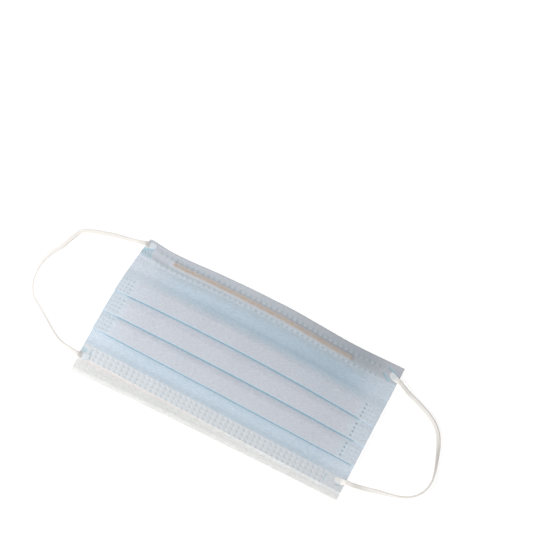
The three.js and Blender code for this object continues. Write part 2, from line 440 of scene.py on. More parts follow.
def zip_rows(low: Array, high: Array, low_shares: Array, high_shares: Array) -> list[Face]:
    """Joins two rows of vertices by faces, in quads where they match and in triangles where they don't.

    Args:
        low: The vertex numbers of one row.
        high: The vertex numbers of the next row.
        low_shares: Where the first row's vertices lie across the mask.
        high_shares: Where the second row's vertices lie across the mask.

    Returns:
        The faces as tuples of vertex numbers.
    """
    if len(low) == len(high):
        return list(zip(low[:-1].tolist(), low[1:].tolist(), high[1:].tolist(), high[:-1].tolist()))
    faces = []
    at_low = at_high = 0
    while at_low < len(low) - 1 or at_high < len(high) - 1:
        step_low = at_high == len(high) - 1 or (
            at_low < len(low) - 1 and low_shares[at_low + 1] <= high_shares[at_high + 1]
        )
        if step_low:
            faces.append((int(low[at_low]), int(low[at_low + 1]), int(high[at_high])))
            at_low += 1
        else:
            faces.append((int(low[at_low]), int(high[at_high + 1]), int(high[at_high])))
            at_high += 1
    return faces


def finish_mesh(name: str, vertices: Array, faces: list[Face]) -> bpy.types.Object:
    """Makes an object of vertices and faces, facing outwards and smooth, and links it to the scene.

    Args:
        name: The piece's name.
        vertices: One place per row, in metres.
        faces: Tuples of vertex numbers.

    Returns:
        The new object.
    """
    mesh = bpy.data.meshes.new(name)
    mesh.from_pydata(vertices.tolist(), [], faces)
    mesh.validate()
    mesh.calc_loop_triangles()
    triangles = np.zeros(len(mesh.loop_triangles) * 3, np.int32)
    mesh.loop_triangles.foreach_get("vertices", triangles)
    corners = vertices[triangles.reshape(-1, 3)]
    volume = np.einsum("ij,ij->i", corners[:, 0], np.cross(corners[:, 1], corners[:, 2])).sum()
    if volume < 0:
        mesh.flip_normals()
    mesh.shade_smooth()
    mesh.set_sharp_from_angle(angle=SHARP_ANGLE)
    piece = bpy.data.objects.new(name, mesh)
    bpy.context.scene.collection.objects.link(piece)
    return piece


def mark_vertices(piece: bpy.types.Object, name: str, values: Array) -> None:
    """Stores one number per vertex for the finish to read.

    Args:
        piece: The object.
        name: The mark's name.
        values: A number for each vertex.
    """
    layer = piece.data.attributes.new(name, "FLOAT", "POINT")
    layer.data.foreach_set("value", np.asarray(values, np.float32))


def seat(piece: bpy.types.Object, node: str, materials: Sequence[bpy.types.Material]) -> None:
    """Puts a piece in a CAD node's place with its finishes and reports it.

    Args:
        piece: The object.
        node: The CAD node that it stands for.
        materials: Its materials, in the order of the faces' numbers.
    """
    for material in materials:
        piece.data.materials.append(material)
    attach(piece, BODY)
    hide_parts(node)
    LOG.info("%s stands for %s with %d faces", piece.name, node, len(piece.data.polygons))


@dataclass(frozen=True)
class Layer:
    """Both faces of a strip for one set of stations across the mask, with the front's marks."""

    front: Array
    rear: Array
    shares: Array
    kinds: list[RowKind]
    marks: dict[str, Array]


@dataclass
class ClothStrip(ABC):
    """A folded strip of cloth: a fine front face, a coarser back face and the cut edges between them."""

    plan: MaskPlan
    ripples: Ripples
    wall: float
    name: str
    node: str
    slot: Slot
    fine_kinds: tuple[RowKind, ...] = ()
    marked_rear: bool = False
    soften: int = 2
    fine: float = 0.40 * MM
    plain: float = 1.5 * MM
    back: float = 3.0 * MM
    floor_gap: float = 0.02 * MM

    @abstractmethod
    def rows(self, shares: Array) -> PathRows:
        """Lays out the strip's path.

        Args:
            shares: The stations across the mask.

        Returns:
            The rows of the path through the middle of the cloth.
        """

    @abstractmethod
    def relief(self, x: Array, y: Array, rows: PathRows) -> Surface:
        """Works out how the front is pressed and what its colour reads.

        Args:
            x: The places across the mask.
            y: Their heights.
            rows: The rows that the places belong to.

        Returns:
            The front's relief and its marks.
        """

    def build(self, front: bpy.types.Material, rear: bpy.types.Material) -> bpy.types.Object:
        """Makes the strip's closed mesh with its marks, in its CAD node's place.

        Args:
            front: The front's finish.
            rear: The back's finish, which its cut edges have too.

        Returns:
            The piece, seated and reported.
        """
        fine = self._layer(station_shares(self.plan, self.fine, self.fine))
        plain = self._layer(station_shares(self.plan, self.plain, self.fine))
        back = self._layer(station_shares(self.plan, self.back, self.back))
        vertices: list[Array] = []
        marks: dict[str, list[Array]] = {key: [] for key in back.marks}
        front_rows: list[NumberedRow] = []
        back_rows: list[NumberedRow] = []
        count = 0
        for index, kind in enumerate(back.kinds):
            upper = fine if kind in self.fine_kinds else plain
            sides = ((front_rows, upper, upper.front[index]), (back_rows, back, back.rear[index]))
            for rows, layer, places in sides:
                vertices.append(places)
                rows.append((np.arange(count, count + len(places)), layer.shares))
                count += len(places)
                marked = rows is front_rows or self.marked_rear
                for key, values in marks.items():
                    values.append(layer.marks[key][index] if marked else np.zeros(len(places)))
        faces, front_count = self._faces(front_rows, back_rows)
        piece = finish_mesh(self.name, np.vstack(vertices), faces)
        slots = np.ones(len(faces), np.int32)
        slots[:front_count] = 0
        piece.data.polygons.foreach_set("material_index", slots)
        for key, values in marks.items():
            mark_vertices(piece, key, np.concatenate(values))
        seat(piece, self.node, (front, rear))
        return piece

    def _faces(
        self, front_rows: list[NumberedRow], back_rows: list[NumberedRow]
    ) -> tuple[list[Face], int]:
        """Joins the rows of both faces, their ends and their sides.

        Args:
            front_rows: The front's vertex numbers and shares, a pair for each row.
            back_rows: The back's, in the same order.

        Returns:
            All faces, with the front's first, and how many the front has.
        """
        faces: list[Face] = []
        for (low, low_shares), (high, high_shares) in zip(front_rows[:-1], front_rows[1:]):
            faces.extend(zip_rows(low, high, low_shares, high_shares))
        front_count = len(faces)
        for (low, low_shares), (high, high_shares) in zip(back_rows[:-1], back_rows[1:]):
            faces.extend(tuple(reversed(face)) for face in zip_rows(low, high, low_shares, high_shares))
        for end, flip in ((0, True), (-1, False)):
            rim = zip_rows(front_rows[end][0], back_rows[end][0], front_rows[end][1], back_rows[end][1])
            faces.extend(tuple(reversed(face)) if flip else face for face in rim)
        for side, flip in ((0, False), (-1, True)):
            for index in range(len(front_rows) - 1):
                ring = (
                    int(front_rows[index][0][side]),
                    int(front_rows[index + 1][0][side]),
                    int(back_rows[index + 1][0][side]),
                    int(back_rows[index][0][side]),
                )
                faces.append(tuple(reversed(ring)) if flip else ring)
        return faces, front_count

    def _layer(self, shares: Array) -> Layer:
        """Works out the strip's two faces for one set of stations.

        Args:
            shares: The stations across the mask.

        Returns:
            The faces, the kinds of their rows and the front's marks.
        """
        rows = self.rows(shares)
        y, z = rows.grid(self.soften)
        x = self.plan.across(shares[None, :], y)
        along_y, along_z = np.gradient(y, axis=0), np.gradient(z, axis=0)
        length = np.hypot(along_y, along_z)
        normal_y, normal_z = along_z / length, -along_y / length
        z = z + self.ripples.lift(x, y)
        surface = self.relief(x, y, rows)
        half = self.wall / 2
        lifted = half + surface.raised
        front = np.stack([x, y + normal_y * lifted, z + normal_z * lifted], axis=2)
        rear = np.stack([x, y - normal_y * half, z - normal_z * half], axis=2)
        for face in (front, rear):
            face[:, :, 2] = np.maximum(face[:, :, 2], self.floor_gap)
        return Layer(front, rear, shares, rows.kinds, surface.marks)


@dataclass(frozen=True)
class Dots:
    """Pressed weld marks in rows: oval dots at a pitch, leaning a little."""

    pitch: float
    half_width: float
    half_height: float
    lean: float = 0.0
    soft_edge: Span = (0.55, 1.25)

    def press(self, across: Array, up: Array) -> Array:
        """Gives 1 in the middle of a dot and 0 outside.

        Args:
            across: The distance along the row.
            up: The distance from the row's line.

        Returns:
            How deep each place is pressed, from 0 to 1.
        """
        leaning = across - self.lean * up
        nearest = leaning - self.pitch * np.round(leaning / self.pitch)
        away = np.hypot(nearest / self.half_width, up / self.half_height)
        return 1.0 - smooth_step(away, *self.soft_edge)


@dataclass
class PleatedPanel(ClothStrip):
    """The mask's body: three bonded plies with three pleats, welded at both sides and along the chin."""

    wall: float = 0.6 * MM
    name: str = "pleated_cloth"
    node: str = "pleated_panel"
    slot: Slot = Slot.BLUE_CLOTH
    fine_kinds: tuple[RowKind, ...] = (RowKind.CHIN_BAND,)
    gap: float = 0.06 * MM
    loft: float = 0.22 * MM
    lifts: tuple[float, ...] = (0.7 * MM, 0.7 * MM, 0.6 * MM)
    ramp: float = 7.5 * MM
    strip_rise: float = 0.55 * MM
    dot_depth: float = 0.24 * MM
    ground_rise: float = 0.10 * MM
    zone_rise: float = 2.1 * MM
    zone_blur: float = 1.6 * MM
    haze_run: float = 5 * MM
    halo: float = 1.3 * MM
    halo_start: float = 0.3 * MM
    halo_share: float = 0.8
    halo_hard: float = 0.4
    corner_across: Span = (-84 * MM, -52 * MM)
    corner_up: Span = (20 * MM, 27 * MM)
    corner_share: float = 0.7
    right_end: Span = (66 * MM, 82 * MM)
    # Painted shade on the slope above the pleats, which faces away from the light.
    dip_shade_from: Span = (-70 * MM, -15 * MM)
    dip_shade_above: float = 2.4 * MM
    dip_shade_half: float = 4.6 * MM
    dip_shade_loss: float = 0.7
    # Where the painted shade above the pleats begins and where it is full.
    least_shade: float = 0.2
    shade_start: float = 1 * MM
    shade_full: float = 4 * MM
    shade_full_right: float = 9 * MM
    seam_rows: float = 2.7 * MM
    left_row: float = 18.7 * MM
    right_row: float = 14.8 * MM
    seam_dot: Dots = Dots(pitch=10.0 * MM, half_width=0.78 * MM, half_height=0.74 * MM)
    left_columns: tuple[tuple[float, float], ...] = (
        (-80.5 * MM, 0.42),
        (-83.1 * MM, 0.34),
        (-85.4 * MM, 0.30),
        (-87.4 * MM, 0.14),
    )
    right_columns: tuple[tuple[float, float], ...] = (
        (78.8 * MM, 0.85),
        (81.3 * MM, 0.17),
        (83.5 * MM, 0.17),
        (86.0 * MM, 0.15),
        (88.0 * MM, 0.10),
    )
    line_ends: tuple[float, ...] = (78.0 * MM, 81.5 * MM, 86.5 * MM)
    band_dot: Dots = Dots(pitch=3.57 * MM, half_width=0.86 * MM, half_height=1.12 * MM)
    band_lines: tuple[float, ...] = (1.1 * MM, 4.0 * MM, 6.8 * MM)
    band_lean: float = -0.05
    band_start: float = -81.5 * MM
    band_end: float = 75.0 * MM
    band_height: SkewRow = SkewRow(8.9 * MM, 9.2 * MM, 9.0 * MM)
    band_blur: Span = (-1.2 * MM, 0.2 * MM)
    band_margin: float = 1.7 * MM
    pressed_dash: float = 0.35
    pressed_stitch: float = 0.6
    dotless: Span = (0.9 * MM, 1.9 * MM)
    left_line_fade: Span = (-82 * MM, -78.5 * MM)
    left_line_loss: float = 0.5
    right_line_fade: Span = (-1 * MM, 2 * MM)
    right_line_loss: float = 0.78
    line_reach: float = 1 * MM
    # The arc angles over which the painted shade on each fold's lower side comes in.
    fold_turn: Span = (95.0, 150.0)
    edge_inset: float = 1.3 * MM
    hem_cover: float = 1 * MM
    band_run: float = 1 * MM
    under_hem_rows: int = 6
    open_rows: int = 8
    ramp_rows: int = 9
    between_rows: int = 7
    top_rows: int = 26
    fold_rows: int = 9
    inner_fold_rows: int = 8
    hidden_rows: int = 7
    low_rows: int = 5
    strip_ramp_rows: int = 4
    band_rows: int = 26

    def step(self, shares: Array) -> Array:
        """Gives the distance between folded layers, pressed in the seams and looser between them."""
        seam = self.plan.seam_share(shares * self.plan.half_width)
        return self.wall + self.gap + self.loft * (1 - shares**2) * (1 - seam)

    def rows(self, shares: Array) -> PathRows:
        """Lays out the panel's path from the nose edge to its lower edge.

        Args:
            shares: The stations across the mask.

        Returns:
            The rows of the path through the middle of the cloth.
        """
        plan, rows = self.plan, PathRows(shares)
        step, base = self.step(shares), self.wall / 2
        turn = step / 2
        reach = turn + self.wall / 2
        nose = plan.nose_edge(shares)
        first = plan.fold(0, shares) + plan.pleat_depth
        hem_line = nose - plan.nose_hem_width + self.hem_cover
        rows.line((nose - self.edge_inset, base), (hem_line, base), self.under_hem_rows, RowKind.UNDER_HEM)
        ramp_top = (first + self.ramp, base)
        rows.line((hem_line, base), ramp_top, self.open_rows, RowKind.SINGLE)
        rows.line(ramp_top, (first, base + 2 * step), self.ramp_rows, RowKind.SINGLE)
        knee = None
        for index, lift in enumerate(self.lifts):
            fold = plan.fold(index, shares)
            inner = fold + plan.pleat_depth
            if knee is not None:
                rows.line(knee, (inner, base + 2 * step), self.between_rows, RowKind.SINGLE)
            top = base + 2 * step + lift
            outside, inside = fold + reach, inner - reach
            rows.line((inner, base + 2 * step), (outside, top), self.top_rows, RowKind.TOP_LAYER)
            rows.turn((outside, top - turn), turn, 90, 270, self.fold_rows, RowKind.FOLD)
            rows.line((outside, base + step + lift), (inside, base + step), self.hidden_rows, RowKind.HIDDEN)
            rows.turn((inside, base + turn), turn, 90, -90, self.inner_fold_rows, RowKind.FOLD)
            knee = (outside, base + lift)
            rows.line((inside, base), knee, self.hidden_rows, RowKind.HIDDEN)
        lower = plan.lower_edge(shares)
        ramp_start = (lower + plan.chin_overlap + plan.chin_ramp, base)
        band_top = (lower + plan.chin_overlap + self.band_run, base + self.strip_rise)
        rows.line(knee, ramp_start, self.low_rows, RowKind.SINGLE)
        rows.line(ramp_start, band_top, self.strip_ramp_rows, RowKind.SINGLE)
        band_end = (lower, base + self.strip_rise)
        rows.line(band_top, band_end, self.band_rows, RowKind.CHIN_BAND, last=True)
        return rows

    def relief(self, x: Array, y: Array, rows: PathRows) -> Surface:
        """Presses the weld dots into the front, marks where the cloth lies in layers and where shade and
        light are painted.

        Args:
            x: The places across the mask.
            y: Their heights.
            rows: The rows that the places belong to.

        Returns:
            The front's relief and its marks.
        """
        shares = rows.shares[None, :]
        open_cloth = rows.are(RowKind.TOP_LAYER, RowKind.SINGLE)
        first, last = self.plan.fold(0, shares), self.plan.fold(2, shares)
        zone_top = first + self.plan.pleat_depth + self.zone_rise
        zone = (1 - smooth_step(y, zone_top - self.zone_blur, zone_top + self.zone_blur)) * (y > last)
        under = np.zeros_like(x)
        for index in (0, 1):
            below = self.plan.fold(index, shares) + self.halo_start - y
            fade = 1 - smooth_step(below, self.halo_hard * self.halo, self.halo)
            under = np.maximum(under, (below > 0) * fade)
        corner = (1 - smooth_step(x, *self.corner_across)) * smooth_step(y, *self.corner_up)
        folded = zone * (1 - self.halo_share * under)
        layers = np.where(open_cloth, np.maximum(folded, self.corner_share * corner), 0.0)
        right = smooth_step(x, *self.right_end)
        # How strongly shade is painted above the pleats at each place.
        deep = self.plan.painted_shade_share(x)
        # Painted shade on the slope above the pleats, weaker where the shade towards the right is painted.
        dip_shade = smooth_step(x, *self.dip_shade_from) * (1 - right) * (1 - self.dip_shade_loss * deep)
        dip_shade = dip_shade * np.exp(-(((y - zone_top - self.dip_shade_above) / self.dip_shade_half) ** 2))
        shade_full = zone_top + self.shade_full + self.shade_full_right * right
        above_folds = smooth_step(y, zone_top + self.shade_start, shade_full)
        above_folds = self.least_shade + (1 - self.least_shade) * above_folds
        under_hem = self.plan.nose_edge(shares) - y - self.plan.nose_hem_width
        seam_spot = self._seam_dots(x, y, shares) * (zone * open_cloth > 0.5)
        dash, ground = self._band(x, y, rows)
        stitched = press_all(PANEL_WELDS, x, y)
        pressed = np.maximum(seam_spot, self.pressed_dash * dash)
        pressed = np.maximum(pressed, self.pressed_stitch * stitched)
        raised = -self.dot_depth * pressed + self.ground_rise * ground * (1 - dash)
        marks = {
            "layers": layers,
            # painted shade above the pleats, stronger towards the right
            "deep": deep * np.where(y > first, above_folds, 0.0),
            "haze": 1 - smooth_step(under_hem, 0.0, self.haze_run),
            # painted shade on the slope above the pleats
            "dip_shade": np.where(open_cloth, dip_shade, 0.0),
            "seam": np.where(open_cloth, self.plan.seam_share(x) * zone, 0.0),
            "weld": seam_spot,
            "dash": dash,
            "ground": ground,
            "stitched": stitched,
            # painted shade on the folds' lower sides and in the pleats
            "fold_shade": self._fold_shade(y, rows) * self._line_share(x, y, shares),
            # painted light at the mask's ends
            "pale": self.plan.painted_light_share(x),
        }
        return Surface(raised, marks)

    def _seam_dots(self, x: Array, y: Array, shares: Array) -> Array:
        """Presses the columns of small dots in both side seams, with none on the fold lines.

        Args:
            x: The places across the mask.
            y: Their heights.
            shares: The stations that they belong to.

        Returns:
            How deep each place is pressed, from 0 to 1.
        """
        pressed = np.zeros_like(x)
        for columns, row in ((self.left_columns, self.left_row), (self.right_columns, self.right_row)):
            up = (y - row) - self.seam_rows * np.round((y - row) / self.seam_rows)
            for column, share in columns:
                near = np.abs(x - column) < self.seam_dot.pitch / 2
                spot = share * self.seam_dot.press(x - column, up)
                pressed = np.maximum(pressed, np.where(near, spot, 0.0))
        for index in range(len(self.plan.folds)):
            pressed = pressed * smooth_step(np.abs(y - self.plan.fold(index, shares)), *self.dotless)
        return pressed

    def _line_share(self, x: Array, y: Array, shares: Array) -> Array:
        """Tells how strongly the painted shade of each fold line shows, weaker in the left seam and faint in
        the right one.

        Args:
            x: The places across the mask.
            y: Their heights.
            shares: The stations that they belong to.

        Returns:
            The share of the line's full colour.
        """
        left = self.left_line_loss * (1 - smooth_step(x, *self.left_line_fade))
        faded = np.zeros_like(x)
        for index, end in enumerate(self.line_ends):
            fold = self.plan.fold(index, shares)
            near = (y > fold - self.line_reach) & (y < fold + self.plan.pleat_depth + self.line_reach)
            past = self.right_line_loss * smooth_step(x - end, *self.right_line_fade)
            faded = np.where(near, np.maximum(left, past), faded)
        return 1 - faded

    def _band(self, x: Array, y: Array, rows: PathRows) -> tuple[Array, Array]:
        """Presses the dashes along the chin and lays the greyer ground between them.

        Args:
            x: The places across the mask.
            y: Their heights.
            rows: The rows that the places belong to.

        Returns:
            How deep the dashes are pressed and how far the ground shows, both from 0 to 1.
        """
        shares = rows.shares[None, :]
        band = rows.are(RowKind.CHIN_BAND)
        below_folds = rows.are(RowKind.CHIN_BAND, RowKind.SINGLE) & (y < self.plan.fold(2, shares))
        above = y - self.plan.lower_edge(shares)
        over = above - self.band_height.at(shares)
        ground = np.where(below_folds, 1 - smooth_step(over, *self.band_blur), 0.0)
        dash = np.zeros_like(x)
        for line in self.band_lines:
            along = x - self.band_start - self.band_lean * above
            dash = np.maximum(dash, self.band_dot.press(along, above - line))
        inside = band & (x > self.band_start - self.band_margin) & (x < self.band_end + self.band_margin)
        return np.where(inside, dash, 0.0), ground

    def _fold_shade(self, y: Array, rows: PathRows) -> Array:
        """Marks the lower side of each fold and the cloth hidden in the pleats, where shade is painted.

        Args:
            y: The heights of the places.
            rows: The rows that they belong to.

        Returns:
            How strongly shade is painted at each place, from 0 to 1.
        """
        fold_shade = np.zeros_like(y)
        for index, (kind, angle) in enumerate(zip(rows.kinds, rows.angles)):
            if kind is RowKind.HIDDEN:
                fold_shade[index] = 1.0
            elif kind is RowKind.FOLD:
                fold_shade[index] = smooth_step(np.array(angle), *self.fold_turn)
        return fold_shade


@dataclass
class NoseHem(ClothStrip):
    """White cloth folded over the nose edge, welded in two rows of ticks with the wire between them."""

    wall: float = 0.4 * MM
    name: str = "nose_hem_cloth"
    node: str = "nose_hem"
    slot: Slot = Slot.WHITE_CLOTH
    fine_kinds: tuple[RowKind, ...] = (RowKind.HEM_FLAP,)
    soften: int = 1
    panel_top: float = 0.66 * MM
    ridge: float = 0.58 * MM
    ridge_half: float = 1.45 * MM
    ridge_foot: float = 2.9 * MM
    run_out: float = 3.0 * MM
    tick_depth: float = 0.16 * MM
    tick: Dots = Dots(pitch=3.57 * MM, half_width=0.62 * MM, half_height=1.25 * MM, lean=-0.1)
    tick_rows: tuple[tuple[SkewRow, float, float], ...] = (
        (SkewRow(3.2 * MM, 4.65 * MM, 4.5 * MM), 0.40 * MM, 0.62),
        (SkewRow(9.3 * MM, 11.35 * MM, 10.9 * MM), 0.22 * MM, 0.42),
    )
    tick_span: float = 77.0 * MM
    gleam: Dots = Dots(pitch=3.57 * MM, half_width=0.7 * MM, half_height=0.8 * MM, lean=-0.1)
    gleam_insets: tuple[float, ...] = (5.4 * MM, 11.6 * MM)
    gleam_shift: float = 0.3 * MM
    panel_gap: float = 0.05 * MM
    edge_radius: float = 0.55 * MM
    sink_run: float = 2.2 * MM
    sink_depth: float = 0.34 * MM
    ridge_slope: float = 0.5 * MM
    row_half: float = 1.7 * MM
    row_change: Span = (6 * MM, 8.5 * MM)
    wire_fade: Span = (0.2 * MM, 2.2 * MM)
    melt_fade: Span = (-3.2 * MM, 1.2 * MM)
    # Painted shade on the hem, stronger towards the right and weaker far below the nose edge.
    grey_rise: Span = (-20 * MM, 75 * MM)
    hem_shade_fall: Span = (66 * MM, 86 * MM)
    low_hem_shade_fall: Span = (8.2 * MM, 10.4 * MM)
    low_hem_shade_loss: float = 0.55
    weld_depth: float = 0.14 * MM
    deepest_share: float = 0.6
    side_rows: int = 3
    turn_rows: int = 7
    flap_rows: int = 36
    sink_rows: int = 7

    def ridge_share(self, x: Array) -> Array:
        """Gives 1 over the wire's length, falling to 0 past its ends."""
        past = np.abs(x - self.plan.wire_shift) - self.plan.wire_half
        return 1 - smooth_step(past, 0.0, self.run_out)

    def rows(self, shares: Array) -> PathRows:
        """Lays out the hem's path from the flap's lower edge over the nose edge to the underside.

        Args:
            shares: The stations across the mask.

        Returns:
            The rows of the path through the middle of the cloth.
        """
        plan, rows = self.plan, PathRows(shares)
        edge = plan.nose_edge(shares)
        level = self.panel_top + self.wall / 2 + self.panel_gap
        radius = self.edge_radius
        low = edge - plan.nose_hem_width
        high = edge - radius - self.wall / 2
        outer = edge - self.wall / 2
        rows.line((outer, self.wall / 2), (outer, level - radius), self.side_rows, RowKind.HEM_EDGE)
        rows.turn((high, level - radius), radius, 0, 90, self.turn_rows, RowKind.HEM_EDGE)
        sink = (low + self.sink_run, level)
        rows.line((high, level), sink, self.flap_rows, RowKind.HEM_FLAP)
        rows.line(sink, (low, level - self.sink_depth), self.sink_rows, RowKind.HEM_FLAP, last=True)
        wire = plan.wire_height(shares)
        share = self.ridge_share(plan.across(shares, edge))
        for index, kind in enumerate(rows.kinds):
            if kind is RowKind.HEM_FLAP:
                away = np.abs(rows.heights[index] - wire)
                lift = 1 - smooth_step(away, self.ridge_half - self.ridge_slope, self.ridge_foot)
                rows.levels[index] = rows.levels[index] + self.ridge * share * lift
        return rows

    def relief(self, x: Array, y: Array, rows: PathRows) -> Surface:
        """Presses both rows of ticks and the loops' welds and marks the wire, the painted shade, the painted
        light at the ends and the gleams.

        Args:
            x: The places across the mask.
            y: Their heights.
            rows: The rows that the places belong to.

        Returns:
            The front's relief and its marks.
        """
        shares = rows.shares[None, :]
        below = self.plan.nose_edge(shares) - y
        flap = rows.are(RowKind.HEM_FLAP)
        tick = np.zeros_like(x)
        row_ground = np.zeros_like(x)
        for row, shift, share in self.tick_rows:
            inset = row.at(shares)
            tick = np.maximum(tick, share * self.tick.press(x - shift, below - inset))
            row_ground = np.maximum(row_ground, np.exp(-(((below - inset) / self.row_half) ** 2)))
        row_ground = row_ground * (0.5 + 0.5 * smooth_step(below, *self.row_change))
        tick = np.where(flap & (np.abs(x) < self.tick_span), tick, 0.0)
        away = np.abs(y - self.plan.wire_height(shares))
        wire = np.where(flap, self.ridge_share(x) * (1 - smooth_step(away, *self.wire_fade)), 0.0)
        weld = np.where(flap, press_all(NOSE_WELDS, x, y), 0.0)
        gleam = np.zeros_like(x)
        between = x - self.gleam_shift + self.gleam.pitch / 2
        for inset in self.gleam_insets:
            gleam = np.maximum(gleam, self.gleam.press(between, below - inset))
        gleam = np.where(np.abs(x) < self.tick_span, gleam, 0.0)
        gleam = np.where(flap, np.maximum(gleam, NOSE_GLEAM.press(x, y)), 0.0)
        melt = smooth_step(below - self.plan.nose_hem_width, *self.melt_fade)
        # Painted shade on the hem towards the right.
        grey = smooth_step(x, *self.grey_rise) * (1 - 0.5 * smooth_step(x, *self.hem_shade_fall))
        grey = grey * (1 - self.low_hem_shade_loss * smooth_step(below, *self.low_hem_shade_fall))
        raised = -self.tick_depth * tick - self.weld_depth * weld
        raised = np.maximum(raised, -self.deepest_share * self.wall)
        marks = {
            "tick": tick,
            "row": row_ground,
            "wire": wire,
            "gleam": gleam,
            "loop_weld": weld,
            "melt": np.where(flap, melt, 0.0),
            # painted light at the mask's ends
            "pale": self.plan.painted_light_share(x),
            # painted shade towards the right
            "deep": self.plan.painted_shade_share(x),
            "haze": np.ones_like(x),
            # painted shade on the hem towards the right
            "grey": grey,
        }
        return Surface(raised, marks)


@dataclass(frozen=True)
class WeldStreak:
    """A short pressed streak beside a flattened loop end, coloured by the cloth melted in it."""

    start: tuple[float, float]
    end: tuple[float, float]
    half_width: float
    soft_edge: Span = (0.5, 1.3)

    def press(self, x: Array, y: Array) -> Array:
        """Gives 1 along the streak's middle and 0 outside it.

        Args:
            x: The places across the mask.
            y: Their heights.

        Returns:
            How deep each place is pressed, from 0 to 1.
        """
        start, end = np.array(self.start), np.array(self.end)
        run = end - start
        length = float(np.hypot(*run))
        along = ((x - start[0]) * run[0] + (y - start[1]) * run[1]) / length
        aside = np.abs((x - start[0]) * run[1] - (y - start[1]) * run[0]) / length
        past = np.maximum(np.abs(along - length / 2) - length / 2, 0.0)
        return 1 - smooth_step(np.hypot(past, aside) / self.half_width, *self.soft_edge)


def press_all(streaks: Sequence[WeldStreak], x: Array, y: Array) -> Array:
    """Gives the deepest press of several streaks at each place."""
    return np.maximum.reduce([streak.press(x, y) for streak in streaks])


NOSE_WELDS = (
    WeldStreak((80.5 * MM, 42.2 * MM), (87.6 * MM, 39.2 * MM), 0.7 * MM),
    WeldStreak((79.0 * MM, 37.3 * MM), (83.5 * MM, 34.5 * MM), 0.8 * MM),
    WeldStreak((-85.4 * MM, 41.0 * MM), (-81.0 * MM, 42.2 * MM), 1.3 * MM),
    WeldStreak((-85.6 * MM, 39.8 * MM), (-84.8 * MM, 36.9 * MM), 0.42 * MM),
    WeldStreak((-83.9 * MM, 40.0 * MM), (-83.1 * MM, 37.0 * MM), 0.42 * MM),
    WeldStreak((-82.2 * MM, 40.2 * MM), (-81.4 * MM, 37.1 * MM), 0.42 * MM),
    WeldStreak((-80.5 * MM, 40.4 * MM), (-79.7 * MM, 37.2 * MM), 0.42 * MM),
)
NOSE_GLEAM = WeldStreak((79.4 * MM, 42.0 * MM), (78.0 * MM, 38.6 * MM), 0.5 * MM)
PANEL_WELDS = (
    WeldStreak((-88.2 * MM, -32.6 * MM), (-85.8 * MM, -32.9 * MM), 1.7 * MM),
    WeldStreak((-82.0 * MM, -35.0 * MM), (-82.0 * MM, -32.2 * MM), 0.75 * MM),
    WeldStreak((84.2 * MM, -37.6 * MM), (87.4 * MM, -37.2 * MM), 0.5 * MM),
    WeldStreak((76.9 * MM, -34.0 * MM), (76.6 * MM, -39.0 * MM), 0.4 * MM),
)


@dataclass
class ChinHem(ClothStrip):
    """White cloth under the panel's lower edge, turned back on itself along the chin edge."""

    wall: float = 0.3 * MM
    name: str = "chin_hem_cloth"
    node: str = "chin_hem"
    slot: Slot = Slot.WHITE_CLOTH
    marked_rear: bool = True
    turn_slack: float = 0.01 * MM
    edge_run: float = 1.6 * MM
    edge_lift: float = 0.06 * MM
    panel_margin: float = 0.3 * MM
    grey_rise: Span = (1.2 * MM, 6.0 * MM)
    # Painted shade towards the strip's left end.
    left_shade_fade: Span = (-40 * MM, 60 * MM)
    left_shade_end: Span = (-93 * MM, -74 * MM)
    blush_rise: Span = (5.5 * MM, 8.0 * MM)
    edge_rows: int = 4
    upper_rows: int = 7
    turn_rows: int = 8
    under_rows: int = 26

    def rows(self, shares: Array) -> PathRows:
        """Lays out the hem's path from its turned edge round the chin edge and under the panel.

        Args:
            shares: The stations across the mask.

        Returns:
            The rows of the path through the middle of the cloth.
        """
        plan, rows = self.plan, PathRows(shares)
        edge = plan.lowest_edge(shares)
        base = self.wall / 2
        radius = self.wall / 2 + self.turn_slack
        upper = base + 2 * radius
        turned = edge + self.wall / 2 + radius
        knee = (edge + plan.chin_fold - self.edge_run, upper)
        rows.line((edge + plan.chin_fold, base + self.edge_lift), knee, self.edge_rows, RowKind.HEM_FLAP)
        rows.line(knee, (turned, upper), self.upper_rows, RowKind.HEM_FLAP)
        rows.turn((turned, base + radius), radius, 90, 270, self.turn_rows, RowKind.HEM_EDGE)
        hidden = plan.lower_edge(shares) + plan.chin_overlap - self.panel_margin
        rows.line((turned, base), (hidden, base), self.under_rows, RowKind.HEM_FLAP, last=True)
        return rows

    def relief(self, x: Array, y: Array, rows: PathRows) -> Surface:
        """Leaves the chin hem smooth and marks where it is greyer, where shade is painted towards its left
        end and where a warm tone lies on it.

        Args:
            x: The places across the mask.
            y: Their heights.
            rows: The rows that the places belong to.

        Returns:
            The hem's flat relief and its marks.
        """
        above = y - self.plan.lowest_edge(rows.shares[None, :])
        grey = smooth_step(above, *self.grey_rise)
        # Painted shade towards the left end, on the greyer part.
        left = (1 - smooth_step(x, *self.left_shade_fade)) * (0.5 + 0.5 * smooth_step(x, *self.left_shade_end))
        blush = left * smooth_step(above, *self.blush_rise)
        return Surface(np.zeros_like(x), {"grey": grey, "left": grey * left, "blush": blush})


